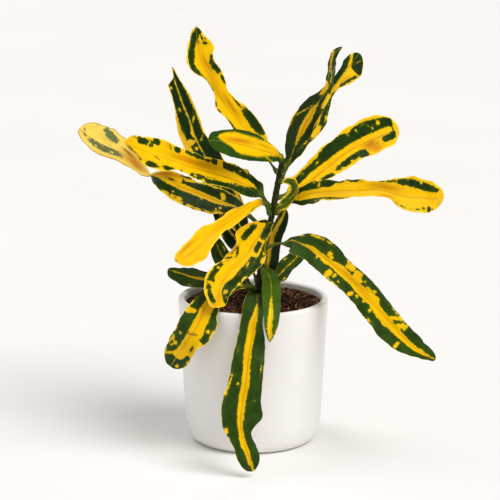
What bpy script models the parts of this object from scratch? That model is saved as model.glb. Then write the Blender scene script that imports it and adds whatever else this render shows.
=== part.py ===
"""Potted croton: a round ceramic pot, its potting soil, one leaning stem and 21 leaves.

Metres, +Z up. The origin is the centre of the pot's flat underside, and -Y is the front.
Each leaf is one closed blade with its stalk, lofted along the midrib that LEAVES lists.
"""

import math

import bmesh
import bpy
import numpy as np
from mathutils import Vector

MM = 0.001

# Driving dimensions, in millimetres. Pairs are (radius, height); shares are of a radius.
POT_HEIGHT = 131.7
POT_TOP_RADIUS = 67.5
POT_SHOULDER_HEIGHT = 27.0
POT_SHOULDER_RADIUS = 61.9
POT_FOOT_RADIUS = 50.0
POT_WALL = 6.0
POT_FLOOR = 8.0
POT_INNER_CORNER = 9.0
POT_BASE_TURN = ((61.1, 18.0), (59.6, 10.0), (57.2, 4.6), (54.0, 1.4))
RIM_ROUNDING = 2.6
POT_SIDES = 56

SOIL_EDGE_HEIGHT = 126.0
SOIL_CROWN = 2.6
SOIL_LUMPS = 0.7
SOIL_RINGS = (0.85, 0.7, 0.55, 0.4, 0.25, 0.12)
SOIL_SIDES = 40
FIT_GAP = 0.3

STEM_ROUTE = (
    (4, 0, 96), (4, 0, 112), (4.5, 0, 129), (5.5, 0, 147), (8, 0, 163),
    (12, 0, 180), (17, 0, 209), (22, 0, 236), (25, 0, 252), (26, 0, 260),
)
STEM_BASE_RADIUS = 3.7
STEM_TOP_RADIUS = 2.7
STEM_TIP_HEIGHT = 1.5
STEM_SIDES = 10
STEM_STEPS = 22

LEAF_THICKNESS = 0.7
STALK_THICKNESS = 2.0
STALK_HALF_WIDTH = 1.1
BLADE_HALF_WIDTH = 4.0
LEAF_ACROSS = (-1.0, -0.5, 0.0, 0.5, 1.0)
LEAF_STEP = 8.0
WAVE_LEAD = 1.3
FACES_FRONT = (0.0, -0.8, 0.6)

# One leaf each: which way its upper face looks, how far each half folds up from the
# midrib (degrees), its edge waves (height in mm, waves along the leaf, phase in degrees;
# the right edge's wave leads by WAVE_LEAD radians), its kind of tip, and its midrib from
# stalk to tip: x, y, z, left and right half width in mm, and the roll about the midrib
# in degrees.
LEAVES = {
    "leaf_crown_tall": dict(
        facing=FACES_FRONT, fold=10, wave=(2.0, 3.0, 0), tip="round", midrib=(
            (22, 0, 244, 1.1, 1.1, 0), (13, 1, 257, 1.1, 1.1, 0), (5, 4, 269, 7, 10, 0),
            (-7, 11, 283, 8.5, 13, 0), (-18, 17, 295, 7.5, 12.5, 0),
            (-25, 19.5, 304, 11, 10, 0), (-31, 22, 313, 4.5, 9, 0), (-37, 27, 326, 6, 9.5, 0),
            (-45, 31, 339, 14.5, 10, 0), (-48, 34, 350, 12, 11.5, 0), (-50, 36, 360, 8.5, 8, 0),
            (-51, 39, 370, 1, 1, 0))),
    "leaf_crown_short": dict(
        facing=(0.2, -0.9, 0.4), fold=8, wave=(0.8, 2.0, 40), tip="round", midrib=(
            (26, -2, 257, 1.1, 1.1, 0), (18, -8, 263, 7.5, 6, 0), (4, -17, 269, 11, 12, 0),
            (-7, -26, 274, 13.5, 13, 0), (-22, -38, 279, 13, 11.5, 0),
            (-32, -45, 282, 9.5, 8, 0), (-39, -51, 283, 1, 1, 0))),
    "leaf_left_upright": dict(
        facing=FACES_FRONT, fold=12, wave=(1.5, 4.0, 0), tip="pointed", midrib=(
            (8, 3, 165, 1.1, 1.1, 0), (-1, 13.5, 177, 1.1, 1.1, 0), (-14, 30, 194, 9, 10, 0),
            (-28, 50, 219, 13, 13, 0), (-43, 65, 246, 15, 13, 0), (-52, 72, 261.5, 14, 10, 0),
            (-59, 79, 280.5, 11.5, 8, 0), (-65, 84, 294, 9, 8, 0), (-70, 87.5, 308, 8, 6.5, 0),
            (-71.5, 88.5, 312, 7.5, 5, 0), (-73, 89.5, 316.5, 1, 4, 0),
            (-74.6, 91, 326.5, 1, 1, 0))),
    "leaf_left_upper": dict(
        facing=FACES_FRONT, fold=8, wave=(1.5, 3.0, 90), tip="round", midrib=(
            (15, -2, 213, 1.1, 1.1, 0), (9, -4, 223, 1.1, 1.1, 0), (2, -10, 233, 5, 3, 0),
            (-7, -17, 238, 10, 10, 0), (-21, -27, 246, 11, 13, 0), (-34, -34, 252, 13.5, 13, 0),
            (-47, -41, 258, 13.5, 10.5, 0), (-64, -49, 266, 12.5, 10.5, 0),
            (-80, -57, 273, 15.5, 13.5, 0), (-97, -64, 279, 11, 10, 0),
            (-110, -70, 285, 1, 1, 0))),
    "leaf_left_long": dict(
        facing=FACES_FRONT, fold=6, wave=(1.5, 4.0, 0), tip="round", midrib=(
            (11, 2, 191, 1.1, 1.1, 0), (2, 6.5, 199, 1.1, 1.1, 0), (-6, 12.5, 205, 2, 2, 0),
            (-14, 19, 209, 6, 7, 0), (-30, 28, 213, 13, 11, 0), (-48, 35, 218, 15, 11, 0),
            (-66, 41, 222.5, 12, 11, -5), (-79, 45, 227.5, 10, 10, -20),
            (-88, 47.5, 232, 7.5, 9, -55), (-96, 49, 234.5, 6, 8, -95),
            (-104, 50.5, 238, 6, 6.5, -135), (-113, 52, 246, 8, 5, -160),
            (-122, 53, 253, 15, 5.5, -175), (-136, 56, 258.5, 20.5, 6.5, -180),
            (-148, 60, 265, 17, 7, -180), (-159.5, 64, 273, 1, 1, -180))),
    "leaf_right_front_tip": dict(
        facing=FACES_FRONT, fold=10, wave=(1.2, 2.0, 0), tip="pointed", midrib=(
            (24, -2, 236, 1.1, 1.1, 0), (31, -10, 254, 1.1, 1.1, 0), (36, -15.5, 270, 9, 9, 0),
            (45, -22, 292, 13, 10, 0), (55, -29, 310, 10, 8, 0), (62, -34, 324, 5, 5, 40),
            (65, -37, 338, 3.5, 5, 65), (67, -41, 349, 3.5, 4, 60), (70, -44, 358, 3, 3, 40),
            (76, -48, 364, 1, 1, 0))),
    "leaf_right_back_spoon": dict(
        facing=FACES_FRONT, fold=10, wave=(1.2, 3.0, 0), tip="round", midrib=(
            (25, 2, 245, 1.1, 1.1, 0), (32, 11, 254, 4, 4, 0), (39, 17.5, 262, 9, 6, 0),
            (49, 26, 274, 10, 6, 0), (58, 34, 288, 9, 8, 0), (65, 40, 300, 6, 5, 0),
            (69, 45, 307, 3, 3, 0), (75, 50, 317, 5, 6, 0), (82, 54, 326, 5, 10, 0),
            (89, 58, 334, 6, 10, 0), (96, 61, 343, 1, 1, 0))),
    "leaf_right_upper": dict(
        facing=FACES_FRONT, fold=10, wave=(1.5, 3.0, 0), tip="round", midrib=(
            (21, 2, 221, 1.1, 1.1, 0), (31, 10, 225, 1.1, 1.1, 0), (40, 17, 230, 9, 6, 0),
            (53, 29, 237, 13, 11, 0), (70, 39, 246, 12, 14, 0), (84, 49, 254, 12, 15, 0),
            (97, 58, 261, 15, 15, 0), (110, 65, 267, 16, 15, 0), (123, 70, 272, 12, 15, 0),
            (133, 73, 273, 1, 1, 0))),
    "leaf_right_long": dict(
        facing=FACES_FRONT, fold=8, wave=(1.2, 4.0, 0), tip="round", midrib=(
            (20, -2, 214, 1.1, 1.1, 0), (29, -9, 220, 1.1, 1.1, 0), (39, -14.5, 224, 5, 4, 0),
            (50, -20, 229, 7, 7, 0), (63, -25, 232, 8, 8, 0), (76, -31, 234, 10, 8, 0),
            (93, -36, 235, 10, 5, 0), (108, -40, 237, 8, 5, 0), (119, -43, 236, 10, 6, 0),
            (132, -47, 234, 15, 13, 0), (144, -50, 234, 15, 15, 0), (157, -52, 233, 12, 12, 0),
            (165, -54, 233, 1, 1, 0))),
    "leaf_curl": dict(
        facing=(-0.5, -0.8, 0.2), fold=5, wave=(0.3, 2.0, 0), tip="pointed", midrib=(
            (20, -1, 208, 1.1, 1.1, 0), (25, -13, 217, 3, 3, 0), (32, -17, 224, 4.5, 4, 0),
            (37, -18, 232, 5, 3.5, 0), (36, -16, 239, 4.5, 3, 0), (30, -12, 240, 3.5, 3, 0),
            (25, -11, 238, 1, 1, 0))),
    "leaf_yellow_left": dict(
        facing=FACES_FRONT, fold=5, wave=(0.8, 2.0, 0), tip="round", midrib=(
            (15, -2, 207, 1.1, 1.1, 0), (10, -11, 218, 1.3, 1.3, 0), (1, -17, 220, 4, 4, 0),
            (-12, -25, 214, 5, 6, 0), (-25, -35, 208, 6, 7, 0), (-36, -46, 202, 9, 7.5, 0),
            (-47, -55, 195, 13, 8, 0), (-58, -66, 188, 12, 7, 0), (-67, -74, 181, 1, 1, 0))),
    "leaf_inner_upright": dict(
        facing=FACES_FRONT, fold=6, wave=(0.4, 2.0, 0), tip="pointed", midrib=(
            (9, -2, 147, 1.1, 1.1, 0), (13, -6, 160, 3.5, 8, 0), (15, -6.3, 176, 4.5, 9, 0),
            (17.2, -6.2, 188, 4.2, 9, 0), (23.3, -6.2, 201, 4.4, 8, 0), (27, -6, 208, 4, 5, 0),
            (29, -5, 213.5, 1, 1, 0))),
    "leaf_front_small": dict(
        facing=FACES_FRONT, fold=6, wave=(0.6, 2.0, 0), tip="pointed", midrib=(
            (6, -3, 158, 1.1, 1.1, 0), (9, -11, 159, 1.1, 1.1, 0), (14, -19, 155, 6, 6, 0),
            (16, -36, 149, 8, 8.5, 0), (16, -52, 143, 8, 8.5, 0), (16, -68, 137, 7.5, 8, 0),
            (16, -77, 131, 6.5, 7, 0), (15, -82, 122, 5, 5, 0), (14, -85, 112, 1, 1, 0))),
    "leaf_right_low": dict(
        facing=FACES_FRONT, fold=8, wave=(1.5, 4.0, 0), tip="round", midrib=(
            (7, -3, 173, 1.1, 1.1, 0), (9, -18, 178, 1.1, 1.1, 0), (15, -22, 183, 1.1, 1.1, 0),
            (26, -22, 186, 1.3, 1.3, 0), (34, -22, 188, 6, 8, 0), (42, -26, 186, 11, 12, 0),
            (59, -33, 178, 15, 14, 0), (76, -42, 165, 13, 14, 0), (93, -50, 150, 13, 13, 0),
            (111, -57, 132, 12, 15, 0), (129, -63, 113, 10, 13, 0), (144, -68, 100, 9, 8, 0),
            (159, -70, 92, 1, 1, 0))),
    "leaf_front_wavy": dict(
        facing=FACES_FRONT, fold=8, wave=(2.5, 3.0, 0), tip="round", midrib=(
            (15, -3, 199, 1.1, 1.1, 0), (12, -10.4, 199, 5, 5, 0), (8, -14.5, 194, 9, 11, 0),
            (1, -21, 186, 11, 15, 0), (-5, -28, 178, 18, 12, 0), (-12, -35, 171, 17, 13, 0),
            (-19, -42, 166, 15, 13, 0), (-25, -49, 160, 14, 15, 0), (-30, -58, 152, 13, 14, 0),
            (-31, -65, 145, 9, 9, 0), (-29, -70, 139, 1, 1, 0))),
    "leaf_right_behind": dict(
        facing=FACES_FRONT, fold=8, wave=(0.5, 2.0, 0), tip="pointed", midrib=(
            (7, 3, 144, 1.1, 1.1, 0), (15, 11, 143, 2, 3, 0), (22, 17.5, 146, 7, 8, 0),
            (30, 24, 153, 8, 7, 0), (39, 32, 159, 7.5, 6.5, 0), (47, 38, 168, 5, 5, 0),
            (52, 43, 171, 1, 1, 0))),
    "leaf_front_long": dict(
        facing=FACES_FRONT, fold=8, wave=(1.5, 4.0, 0), tip="round", midrib=(
            (4, -3, 133, 1.1, 1.1, 0), (3, -14, 136, 5, 7, 0), (3, -28, 138.5, 8, 10, 0),
            (3, -45, 138.5, 8, 11, 0), (2, -60, 137, 7.5, 11, 0), (0, -72, 129, 8, 11, 0),
            (-3, -78, 113, 13, 11, 0), (-6, -87, 97, 14, 12, 0), (-8, -96, 78, 14, 14, 0),
            (-11, -102, 62, 16, 16, 0), (-11.5, -108, 47, 15, 16, 0),
            (-9.5, -112, 37, 6, 13, 0), (-7, -115, 30, 9, 11, 0), (-4, -117, 21, 9, 11, 0),
            (-1, -119, 6, 1, 1, 0))),
    "leaf_left_front": dict(
        facing=FACES_FRONT, fold=8, wave=(1.5, 3.0, 0), tip="round", midrib=(
            (2, -3, 139, 1.1, 1.1, 0), (-7, -14, 144, 1.5, 1.5, 0), (-21, -28, 148, 7, 8, 0),
            (-34, -44, 142, 11, 10, 0), (-43, -60, 134, 15, 14, 0), (-49, -67, 122, 17, 16, 0),
            (-56, -68, 111, 16, 15, 0), (-64, -65, 99, 14, 14, 0), (-73, -60, 83, 1, 1, 0))),
    "leaf_left_low": dict(
        facing=(0, -0.6, 0.8), fold=6, wave=(0.6, 2.0, 0), tip="round", midrib=(
            (3, 2, 132, 1.1, 1.1, 0), (-12, 14, 136, 1.5, 1.5, 0), (-28, 24, 138, 6, 7, 0),
            (-46, 27, 141, 10, 8, 0), (-57, 28, 143, 12, 9, 0), (-68, 29, 146, 10, 7, 0),
            (-78, 30, 149, 1, 1, 0))),
    "leaf_back_left_low": dict(
        facing=(0, -0.6, 0.8), fold=8, wave=(0.6, 2.0, 0), tip="pointed", midrib=(
            (3, 2, 137, 1.1, 1.1, 0), (-3, 7, 139, 3, 2, 0), (-9, 13, 144, 9, 5, 0),
            (-19, 21, 151, 12, 7, 0), (-28, 29, 161, 10, 8, 0), (-34, 36, 172, 6, 6, 0),
            (-38, 41, 181, 1, 1, 0))),
    "leaf_back_left_inner": dict(
        facing=FACES_FRONT, fold=10, wave=(0.8, 2.0, 0), tip="pointed", midrib=(
            (4, 3, 143, 1.1, 1.1, 0), (-1, 11, 153, 1.1, 1.1, 0), (-8, 23, 167, 7, 5, 0),
            (-16, 34, 177, 11, 8, 0), (-25, 43, 187, 8, 9, 0), (-32, 53, 200, 6, 8, 0),
            (-38, 62, 215, 1, 1, 0))),
}

# Colour (linear RGB), roughness.
MATERIALS = {
    "pot": ((0.78, 0.76, 0.74), 0.55),
    "soil": ((0.035, 0.018, 0.012), 0.95),
    "stem": ((0.03, 0.05, 0.01), 0.6),
    "leaf_green": ((0.03, 0.09, 0.01), 0.4),
    "leaf_yellow": ((0.75, 0.45, 0.01), 0.4),
}
YELLOW_LEAVES = ("leaf_yellow_left", "leaf_crown_tall", "leaf_right_long", "leaf_front_wavy")


def clear_scene():
    """Remove every object that the file starts with."""
    for old in list(bpy.data.objects):
        bpy.data.objects.remove(old, do_unlink=True)


def make_material(name):
    """A Principled material with the colour and roughness that MATERIALS gives."""
    colour, roughness = MATERIALS[name]
    material = bpy.data.materials.new(name)
    material.use_nodes = True
    shader = material.node_tree.nodes["Principled BSDF"]
    shader.inputs["Base Color"].default_value = (*colour, 1.0)
    shader.inputs["Roughness"].default_value = roughness
    shader.inputs["Metallic"].default_value = 0.0
    material.diffuse_color = (*colour, 1.0)
    return material


def add_object(name, points, faces, material):
    """One closed mesh object, from points in millimetres, with its faces pointing out."""
    mesh = bpy.data.meshes.new(name)
    mesh.from_pydata([Vector(point) * MM for point in points], [], faces)
    work = bmesh.new()
    work.from_mesh(mesh)
    bmesh.ops.recalc_face_normals(work, faces=work.faces)
    work.to_mesh(mesh)
    work.free()
    mesh.shade_smooth()
    mesh.set_sharp_from_angle(angle=math.radians(40))
    mesh.materials.append(material)
    made = bpy.data.objects.new(name, mesh)
    bpy.context.collection.objects.link(made)
    return made


def smooth_curve(rows, places):
    """Values of a centripetal Catmull-Rom curve through rows, at parameters 0 to rows - 1."""
    rows = np.array(rows, dtype=float)
    padded = np.vstack([2 * rows[0] - rows[1], rows, 2 * rows[-1] - rows[-2]])
    span = np.linalg.norm(np.diff(padded[:, :3], axis=0), axis=1) ** 0.5
    knots = np.concatenate([[0.0], np.cumsum(span)])
    out = []
    for place in places:
        i = min(int(place), len(rows) - 2)
        p, k = padded[i:i + 4], knots[i:i + 4]
        t = k[1] + (place - i) * (k[2] - k[1])
        a = [((k[j + 1] - t) * p[j] + (t - k[j]) * p[j + 1]) / (k[j + 1] - k[j]) for j in range(3)]
        b = [((k[j + 2] - t) * a[j] + (t - k[j]) * a[j + 1]) / (k[j + 2] - k[j]) for j in range(2)]
        out.append(((k[2] - t) * b[0] + (t - k[1]) * b[1]) / (k[2] - k[1]))
    return np.array(out)


def even_places(rows, step, tip):
    """Parameters along the curve about step millimetres apart, with every row kept.

    They crowd towards a round tip.
    """
    places = []
    last = len(rows) - 2
    for i in range(last + 1):
        length = math.dist(rows[i][:3], rows[i + 1][:3])
        count = max(1, round(length / step))
        if i == last and tip == "round":
            count = max(3, count)
            places += [i + math.sin(math.pi / 2 * k / count) for k in range(count)]
        else:
            places += [i + k / count for k in range(count)]
    return places + [last + 1]


def turned(profile, sides):
    """Points and faces of a closed profile (radius, height) turned about Z.

    A radius of zero is one point on the axis.
    """
    rings, points = [], []
    for radius, height in profile:
        if radius == 0:
            rings.append([len(points)] * sides)
            points.append((0.0, 0.0, height))
            continue
        rings.append(list(range(len(points), len(points) + sides)))
        for k in range(sides):
            angle = 2 * math.pi * k / sides
            points.append((radius * math.cos(angle), radius * math.sin(angle), height))
    faces = []
    for lower, upper in zip(rings, rings[1:]):
        for k in range(sides):
            n = (k + 1) % sides
            corners = [lower[k], lower[n], upper[n], upper[k]]
            faces.append(tuple(dict.fromkeys(corners)))
    return points, faces


def arc(centre, radius, start, end, count):
    """Points on an arc in the (radius, height) plane, angles in degrees."""
    angles = np.radians(np.linspace(start, end, count))
    return [(centre[0] + radius * math.cos(a), centre[1] + radius * math.sin(a)) for a in angles]


def inner_radius(height):
    """The pot's inner wall radius at a height."""
    slope = (POT_TOP_RADIUS - POT_SHOULDER_RADIUS) / (POT_HEIGHT - POT_SHOULDER_HEIGHT)
    return POT_TOP_RADIUS - POT_WALL - slope * (POT_HEIGHT - height)


def inner_corner(height, gap):
    """The turn from floor to wall inside the pot, for a floor at a height, shrunk by gap."""
    centre = (inner_radius(height) - gap - POT_INNER_CORNER, height + POT_INNER_CORNER)
    return arc(centre, POT_INNER_CORNER, -90, 0, 4)


def make_pot(material):
    """The pot: a tapered wall on a rounded base, with a rounded rim."""
    shoulder = (POT_SHOULDER_RADIUS, POT_SHOULDER_HEIGHT)
    base_turn = [shoulder, *POT_BASE_TURN, (POT_FOOT_RADIUS, 0.0)]
    rim_outer = arc((POT_TOP_RADIUS - RIM_ROUNDING, POT_HEIGHT - RIM_ROUNDING),
                    RIM_ROUNDING, 90, 0, 5)
    rim_inner = arc((POT_TOP_RADIUS - POT_WALL + RIM_ROUNDING, POT_HEIGHT - RIM_ROUNDING),
                    RIM_ROUNDING, 180, 90, 5)
    inside = [(0, POT_FLOOR)] + inner_corner(POT_FLOOR, 0.0)
    profile = inside + rim_inner + rim_outer + base_turn + [(0, 0)]
    return add_object("pot", *turned(profile, POT_SIDES), material)


def make_soil(material):
    """The potting soil: it fills the pot to just under the rim and crowns at the stem."""
    low = POT_FLOOR + FIT_GAP
    rim = inner_radius(SOIL_EDGE_HEIGHT) - FIT_GAP
    rings = [(rim, SOIL_EDGE_HEIGHT)]
    for share in SOIL_RINGS:
        rings.append((rim * share, SOIL_EDGE_HEIGHT + SOIL_CROWN * (1 - share ** 2)))
    top = SOIL_EDGE_HEIGHT + SOIL_CROWN
    profile = [(0, low)] + inner_corner(low, FIT_GAP) + rings + [(0, top)]
    points, faces = turned(profile, SOIL_SIDES)
    chance = np.random.default_rng(7)
    lumpy = []
    for x, y, z in points:
        inside = z > SOIL_EDGE_HEIGHT + 0.1
        lumpy.append((x, y, z + SOIL_LUMPS * chance.uniform(-1, 1) * inside))
    return add_object("soil", lumpy, faces, material)


def stem_mesh(extra):
    """Points and faces of the stem, fattened by extra."""
    places = np.linspace(0, len(STEM_ROUTE) - 1, STEM_STEPS)
    route = smooth_curve(STEM_ROUTE, places)
    tangents = np.gradient(route, axis=0)
    route[0][2] -= extra
    route[-1][2] += extra
    points, faces = [], []
    for i, (centre, tangent) in enumerate(zip(route, tangents)):
        along = Vector(tangent).normalized()
        side = Vector((0, 1, 0)).cross(along).normalized()
        front = along.cross(side)
        share = i / (len(route) - 1)
        radius = STEM_BASE_RADIUS + (STEM_TOP_RADIUS - STEM_BASE_RADIUS) * share + extra
        for k in range(STEM_SIDES):
            angle = 2 * math.pi * k / STEM_SIDES
            offset = side * (radius * math.cos(angle)) + front * (radius * math.sin(angle))
            points.append(tuple(Vector(centre) + offset))
    for i in range(len(route) - 1):
        for k in range(STEM_SIDES):
            n = (k + 1) % STEM_SIDES
            a, b = i * STEM_SIDES, (i + 1) * STEM_SIDES
            faces.append((a + k, a + n, b + n, b + k))
    low_end = len(points)
    tip = Vector((0, 0, extra + STEM_TIP_HEIGHT))
    points.append(tuple(Vector(route[0]) - tip))
    points.append(tuple(Vector(route[-1]) + tip))
    top = (len(route) - 1) * STEM_SIDES
    for k in range(STEM_SIDES):
        n = (k + 1) % STEM_SIDES
        faces.append((low_end, k, n))
        faces.append((low_end + 1, top + k, top + n))
    return points, faces


def leaf_frames(leaf, step):
    """Midrib points, along, side and face directions, half widths and places of a leaf."""
    rows = leaf["midrib"]
    places = even_places(rows, step, leaf["tip"])
    curve = smooth_curve(rows, places)
    if leaf["tip"] == "round":
        for place, row in zip(places, curve):
            past = place - (len(rows) - 2)
            if past > 0:
                row[3:5] = np.array(rows[-2][3:5]) * math.sqrt(max(0.0, 1 - past ** 2))
    tangents = np.gradient(curve[:, :3], axis=0)
    frames = []
    for row, tangent in zip(curve, tangents):
        along = Vector(tangent).normalized()
        face = Vector(leaf["facing"])
        face = (face - along * face.dot(along)).normalized()
        side = along.cross(face)
        roll = math.radians(row[5])
        turned_face = face * math.cos(roll) + side * math.sin(roll)
        turned_side = side * math.cos(roll) - face * math.sin(roll)
        left, right = max(row[3], 1.0), max(row[4], 1.0)
        frames.append((Vector(row[:3]), turned_side, turned_face, left, right))
    return frames


def leaf_mesh(leaf, step):
    """Points and faces of one leaf: a stalk that flattens into a folded, waved blade.

    Both faces are cut into the same triangles, so the blade is as thick everywhere.
    """
    frames = leaf_frames(leaf, step)
    height, waves, phase = leaf["wave"]
    fold = math.radians(leaf["fold"])
    upper, lower = [], []
    for i, (centre, side, face, left, right) in enumerate(frames):
        share = i / (len(frames) - 1)
        wide = min(1.0, max(0.0, (left + right) / 2 - STALK_HALF_WIDTH)
                   / (BLADE_HALF_WIDTH - STALK_HALF_WIDTH))
        thick = STALK_THICKNESS + (LEAF_THICKNESS - STALK_THICKNESS) * wide
        if share > 0.5:
            thick = LEAF_THICKNESS
        swing = 2 * math.pi * waves * share + math.radians(phase)
        for t in LEAF_ACROSS:
            reach = (right if t > 0 else left) * t
            lift = abs(reach) * math.sin(fold) * wide
            lift += height * wide * t * t * math.sin(swing + (WAVE_LEAD if t > 0 else 0.0))
            point = centre + side * (reach * math.cos(fold * wide)) + face * lift
            upper.append(point + face * thick / 2)
            lower.append(point - face * thick / 2)
    count = len(LEAF_ACROSS)
    points = [tuple(p) for p in upper + lower]
    shift = len(upper)
    faces = []
    for i in range(len(frames) - 1):
        a, b = i * count, (i + 1) * count
        for k in range(count - 1):
            quad = (a + k, a + k + 1, b + k + 1, b + k)
            for tri in ((quad[0], quad[1], quad[2]), (quad[0], quad[2], quad[3])):
                faces.append(tri)
                faces.append(tuple(c + shift for c in reversed(tri)))
        for k in (0, count - 1):
            faces.append((a + k, b + k, b + k + shift, a + k + shift))
    for row in (0, len(frames) - 1):
        a = row * count
        for k in range(count - 1):
            faces.append((a + k, a + k + 1, a + k + 1 + shift, a + k + shift))
    return points, faces


def cut(target, cutter):
    """Cut the cutter's shape out of the target."""
    boolean = target.modifiers.new("cut_" + cutter.name, "BOOLEAN")
    boolean.operation = "DIFFERENCE"
    boolean.object = cutter


def main():
    """Build every piece."""
    clear_scene()
    materials = {name: make_material(name) for name in MATERIALS}
    make_pot(materials["pot"])
    soil = make_soil(materials["soil"])
    add_object("stem", *stem_mesh(0.0), materials["stem"])
    clearance = add_object("stem_clearance", *stem_mesh(FIT_GAP), materials["stem"])
    clearance.hide_render = True
    clearance.display_type = "WIRE"
    cut(soil, clearance)
    for name, leaf in LEAVES.items():
        colour = "leaf_yellow" if name in YELLOW_LEAVES else "leaf_green"
        made = add_object(name, *leaf_mesh(leaf, LEAF_STEP), materials[colour])
        cut(made, clearance)


main()
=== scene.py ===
"""Potted croton: the looks of the pot, soil, stem and 21 leaves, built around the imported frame.

Shapes are worked out in millimetres in the object's own frame, +Z up, with the origin at the
centre of the pot's underside and -Y at the front. Blender gets them in metres.
"""

import math

import bmesh
import bpy
import numpy as np
from mathutils import Matrix, Vector, noise


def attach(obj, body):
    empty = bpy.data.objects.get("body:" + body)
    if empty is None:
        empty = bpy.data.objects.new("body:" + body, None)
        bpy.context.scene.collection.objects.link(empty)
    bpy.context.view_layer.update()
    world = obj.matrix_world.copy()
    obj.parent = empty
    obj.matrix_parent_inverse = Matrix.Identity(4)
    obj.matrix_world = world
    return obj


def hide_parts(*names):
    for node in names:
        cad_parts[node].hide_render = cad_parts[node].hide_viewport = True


MM = 0.001

# Leaf form, in millimetres. The first five repeat the solids' values. STALK_END and
# RIB_FADE_FROM are shares of a leaf's length, and CURL_EASE and WIDER_EASE of a change's own
# length. RIPPLE_WAVES says how often and how high the waves of an uneven swing are.
SOLID_STEP = 8.0
STALK_HALF_WIDTH = 1.1
BLADE_HALF_WIDTH = 4.0
WAVE_LEAD = 1.3
FACES_FRONT = (0.0, -0.8, 0.6)
MIDRIB_REST = (0, 0, 0, STALK_HALF_WIDTH, STALK_HALF_WIDTH, 0)
FINE_STEP = 1.1
HALF_ACROSS = (0.02, 0.05, 0.09, 0.14, 0.2, 0.27, 0.34, 0.41, 0.48, 0.55, 0.62, 0.69, 0.76, 0.82,
               0.875, 0.92, 0.955, 0.98, 1.0)
ACROSS = np.array([-t for t in reversed(HALF_ACROSS)] + [0.0, *HALF_ACROSS])
RIPPLE_WAVES = ((1.0, 0.5), (0.61, 0.3), (1.73, 0.25))
RAGGED = 0.02
RAGGED_PERIOD = 13.0
RUFFLE = 0.8
RUFFLE_PERIOD = 15.0
CURL_EASE = 0.35
WIDER_EASE = 1 / 3
POINT_LENGTH = 2.5
TIP_HALF_WIDTH = 0.25
BLADE_THICKNESS = 0.45
RIM_THICKNESS = 0.16
STALK_THICKNESS = 2.2
STALK_EXTRA = 0.65
STALK_FOOT = 0.9
STALK_END = (0.4, 0.5)
FOOT_LENGTH = 3.0
RIB_DEPTH = 0.75
RIB_FADE = 0.75
RIB_FADE_FROM = 0.3
RIB_WIDTH = 1.1
GROOVE_DEPTH = 0.22
GROOVE_WIDTH = 0.8

# How marks are drawn: how square their ellipses are, how steeply the thin yellow line on the
# edge rises, how far the painted amber shade in folds reaches out, what stands for no margin
# and for no scar, and how far apart leaves lie in the noises, so that no two are alike.
SQUARE = 2.8
RIM_RISE = 3
AMBER_REACH = 0.3
NO_MARGIN = ((0, 30, 30),)
NO_SCAR = -3.0
LEAF_SHIFT = 37.0
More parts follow.
